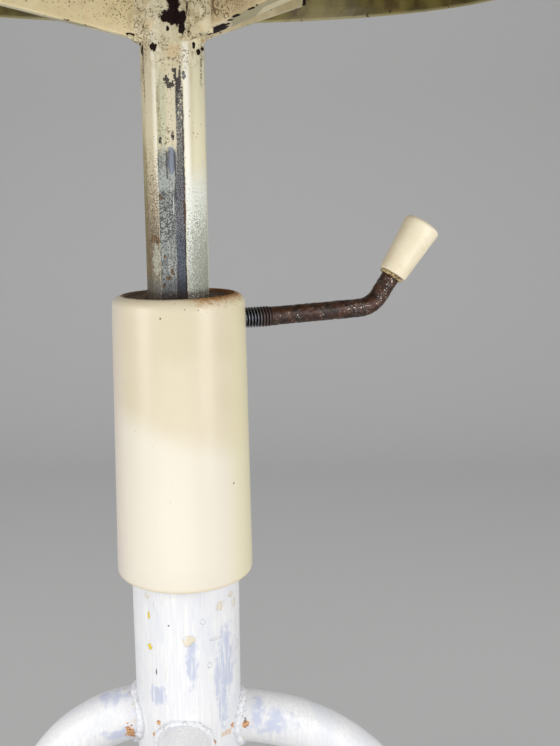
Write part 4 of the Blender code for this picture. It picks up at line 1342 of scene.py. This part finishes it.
def build_glue_ring():
    """Squeezed-out glue and grime at the knob's base."""
    level, ring_r = KNOB_FROM - 0.9 * MM, 5.1 * MM
    rows = []
    for t in full_turn(72):
        outward = Vector((math.cos(t), math.sin(t), 0))
        wave = noise.noise(Vector((math.cos(t) * 2.2, math.sin(t) * 2.2, 4.0)))
        swell = 0.85 * MM + 0.3 * MM * wave
        ring = []
        for a in full_turn(14):
            spot = outward * (ring_r + math.cos(a) * swell)
            spot.z = level + math.sin(a) * swell
            ring.append(spot + outward * 0.12 * MM * noise.noise(spot / MM * 1.7))
        rows.append(ring)
    obj = new_object("knob_glue_ring", skin(rows, close_rows=True), 60)
    obj.data.transform(knob_place())
    finish_piece(obj, "clamp", glue_look(), "rusty_steel", "knob_ferrule")


def build_feet():
    """Ribbed rubber ferrules, each cut level where it meets the floor."""
    look = plain_look("ferrule_rubber", srgb(46, 46, 48), srgb(30, 30, 31), 0.72, 0.0, 0.5, 0.15)
    angles = full_turn(96)
    bore = LEG_R + 0.3 * MM
    outline = ferrule_outline(bore)
    for side in LEG_SIDES:
        tilt = math.pi / 2 - leg_shape(side)[2]
        place = (Matrix.Translation(leg_path(side)[-1])
                 @ Matrix.Rotation(leg_azimuth(side), 4, "Z") @ Matrix.Rotation(-tilt, 4, "Y"))
        inner = [[place @ polar(bore, a, s) for a in angles] for s in (1 * MM, 12 * MM)]
        rows = [[place @ polar(r, a, s) for a in angles] for r, s in outline]
        rows = [row for row in rows if min(p.z for p in row) > 1.2 * MM]
        for r, lift in ((19.45, 0.7), (17.5, 0.0), (9, 0.0), (1, 0.0)):
            rows.append([on_floor(place, r * MM, a, lift * MM) for a in angles])
        obj = new_object("ferrule_" + side, skin(inner + rows, caps=True), 35)
        finish_piece(obj, "base", look, "black_rubber", "foot_ferrule_" + side)


def ferrule_outline(bore):
    """A ferrule's section down its outside: its rim, four ribs and a flared foot."""
    outline = [(bore, 25.4 * MM), (LEG_R + 1.0 * MM, 26 * MM), (16.0 * MM, 26 * MM),
               (16.6 * MM, 25.3 * MM), (16.7 * MM, 24.0 * MM)]
    for k in range(4):
        top = 20.5 * MM - 3.4 * MM * k
        groove, rib = 0.12 * MM * k, 17.0 * MM + 0.1 * MM * k
        outline += [(16.2 * MM + groove, top), (rib, top - 0.7 * MM),
                    (rib, top - 1.7 * MM), (16.3 * MM + groove, top - 2.4 * MM)]
    return outline + [(17.4 * MM, 6 * MM), (18.6 * MM, 3.4 * MM), (19.4 * MM, 1 * MM)]


def on_floor(place, r, angle, lift):
    """The point of a tilted cylinder's wall line at a level just over the floor."""
    base = place @ polar(r, angle)
    down = (place.to_3x3() @ Vector((0, 0, -1))).normalized()
    return base + down * ((base.z - lift) / -down.z)


def soften(node, material):
    """A CAD node that stays: welded, smoothed and given its own surface."""
    obj = NODES[node]
    weld = obj.modifiers.new("weld", "WELD")
    weld.merge_threshold = 0.01 * MM
    split = obj.modifiers.new("split", "EDGE_SPLIT")
    split.split_angle = math.radians(35)
    for polygon in obj.data.polygons:
        polygon.use_smooth = True
    if not obj.data.materials:
        obj.data.materials.append(material)
    for i in range(len(obj.data.materials)):
        obj.data.materials[i] = material


def dress_fittings():
    """Give the CAD nodes that stay in view their own surfaces."""
    steel = plain_look("zinc_steel", srgb(176, 176, 174), srgb(136, 136, 136), 0.38, 0.9, 0.6, 0.04)
    black = plain_look("black_plastic", srgb(38, 38, 40), srgb(26, 26, 28), 0.6, 0.0, 0.5, 0.08)
    nylon = plain_look("guide_nylon", srgb(214, 210, 196), srgb(196, 190, 172),
                       0.45, 0.0, 0.3, 0.05)
    brass = plain_look("pad_brass", srgb(188, 156, 92), srgb(150, 118, 62), 0.35, 0.9, 0.6, 0.04)
    spring = plain_look("clip_steel", srgb(78, 78, 84), srgb(50, 50, 54), 0.35, 0.9, 0.8, 0.03)
    soften("guide_bush", bush_look())
    for node in ("column_end_plug", "sleeve_spacer"):
        soften(node, black)
    for side in LEG_SIDES:
        soften("foot_washer_" + side, steel)
    for side in ARM_SIDES:
        soften("top_screw_" + side, steel)
    for node in ("bush_lock_screw_1", "bush_lock_screw_2", "shoe_collar"):
        soften(node, steel)
    soften("shoe_clip", spring)
    soften("post_guide_shoe", nylon)
    soften("clamp_pad", brass)
    soften("post_top_plug", plain_look("plug_enamel", srgb(222, 212, 180), srgb(196, 184, 146),
                                       0.4, 0.0, 0.2, 0.1))


# ------------------------------------------------------------------------- stage

def area_light(name, place, target, width, height, power):
    """A soft rectangular light; sizes in metres, power in watts."""
    light = bpy.data.lights.new(name, "AREA")
    light.shape = "RECTANGLE"
    light.size = width
    light.size_y = height
    light.energy = power
    obj = bpy.data.objects.new(name, light)
    bpy.context.scene.collection.objects.link(obj)
    obj.location = place
    obj.rotation_euler = (Vector(target) - Vector(place)).to_track_quat("-Z", "Y").to_euler()


def build_stage():
    """A pale floor that sweeps up into a plain wall behind."""
    front, back, half, top = -4.0, 1.7, 5.0, 4.0
    bend, gap = 0.6, 0.2 * MM
    curve = arc((back - bend, bend), bend, -math.pi / 2, 0, 24)
    section = [(front, 0.0)] + curve + [(back, top)]
    bm = bmesh.new()
    left = [bm.verts.new((-half, y, z - gap)) for y, z in section]
    right = [bm.verts.new((half, y, z - gap)) for y, z in section]
    for i in range(len(section) - 1):
        bm.faces.new((left[i], right[i], right[i + 1], left[i + 1]))
    floor = new_object("studio_floor", bm)
    floor.data.materials.append(Look("studio_floor").done(srgb(188, 188, 187), 0.85))

    world = bpy.data.worlds.new("studio")
    world.use_nodes = True
    sky = world.node_tree.nodes["Background"]
    sky.inputs["Color"].default_value = (0.98, 0.985, 1.0, 1.0)
    sky.inputs["Strength"].default_value = 0.505
    bpy.context.scene.world = world

    aim = (0.0, 0.0, 0.40)
    area_light("softbox_left", (-0.95, -0.62, 0.60), aim, 0.5, 0.9, 6.6)
    area_light("softbox_right", (0.85, -0.72, 0.58), aim, 0.5, 0.9, 6.8)
    area_light("softbox_low", (-0.1, -0.80, 0.10), (0, 0, 0.28), 0.9, 0.16, 1.0)
    area_light("softbox_top", (-0.1, -0.3, 2.1), aim, 1.4, 1.4, 11.6)


def build_camera():
    """Eye level just above the sleeve, close in, looking down a little."""
    camera = bpy.data.cameras.new("camera")
    camera.lens = 50.16
    camera.sensor_width = 36.0
    camera.clip_start = 0.01
    obj = bpy.data.objects.new("camera", camera)
    bpy.context.scene.collection.objects.link(obj)
    pitch = math.radians(13.236)
    roll = math.radians(-0.215)
    obj.location = (47.16 * MM, -480 * MM, SLEEVE_TOP + 72.9 * MM)
    obj.rotation_euler = (Matrix.Rotation(math.pi / 2 - pitch, 3, "X")
                          @ Matrix.Rotation(roll, 3, "Z")).to_euler()
    bpy.context.scene.camera = obj
    bpy.context.scene.view_settings.view_transform = "Standard"


for build in (build_post, build_sleeve, build_column, build_legs, build_arms, build_pan,
              build_thread, build_rod, build_knob, build_glue_ring, build_feet,
              dress_fittings, build_stage, build_camera):
    build()
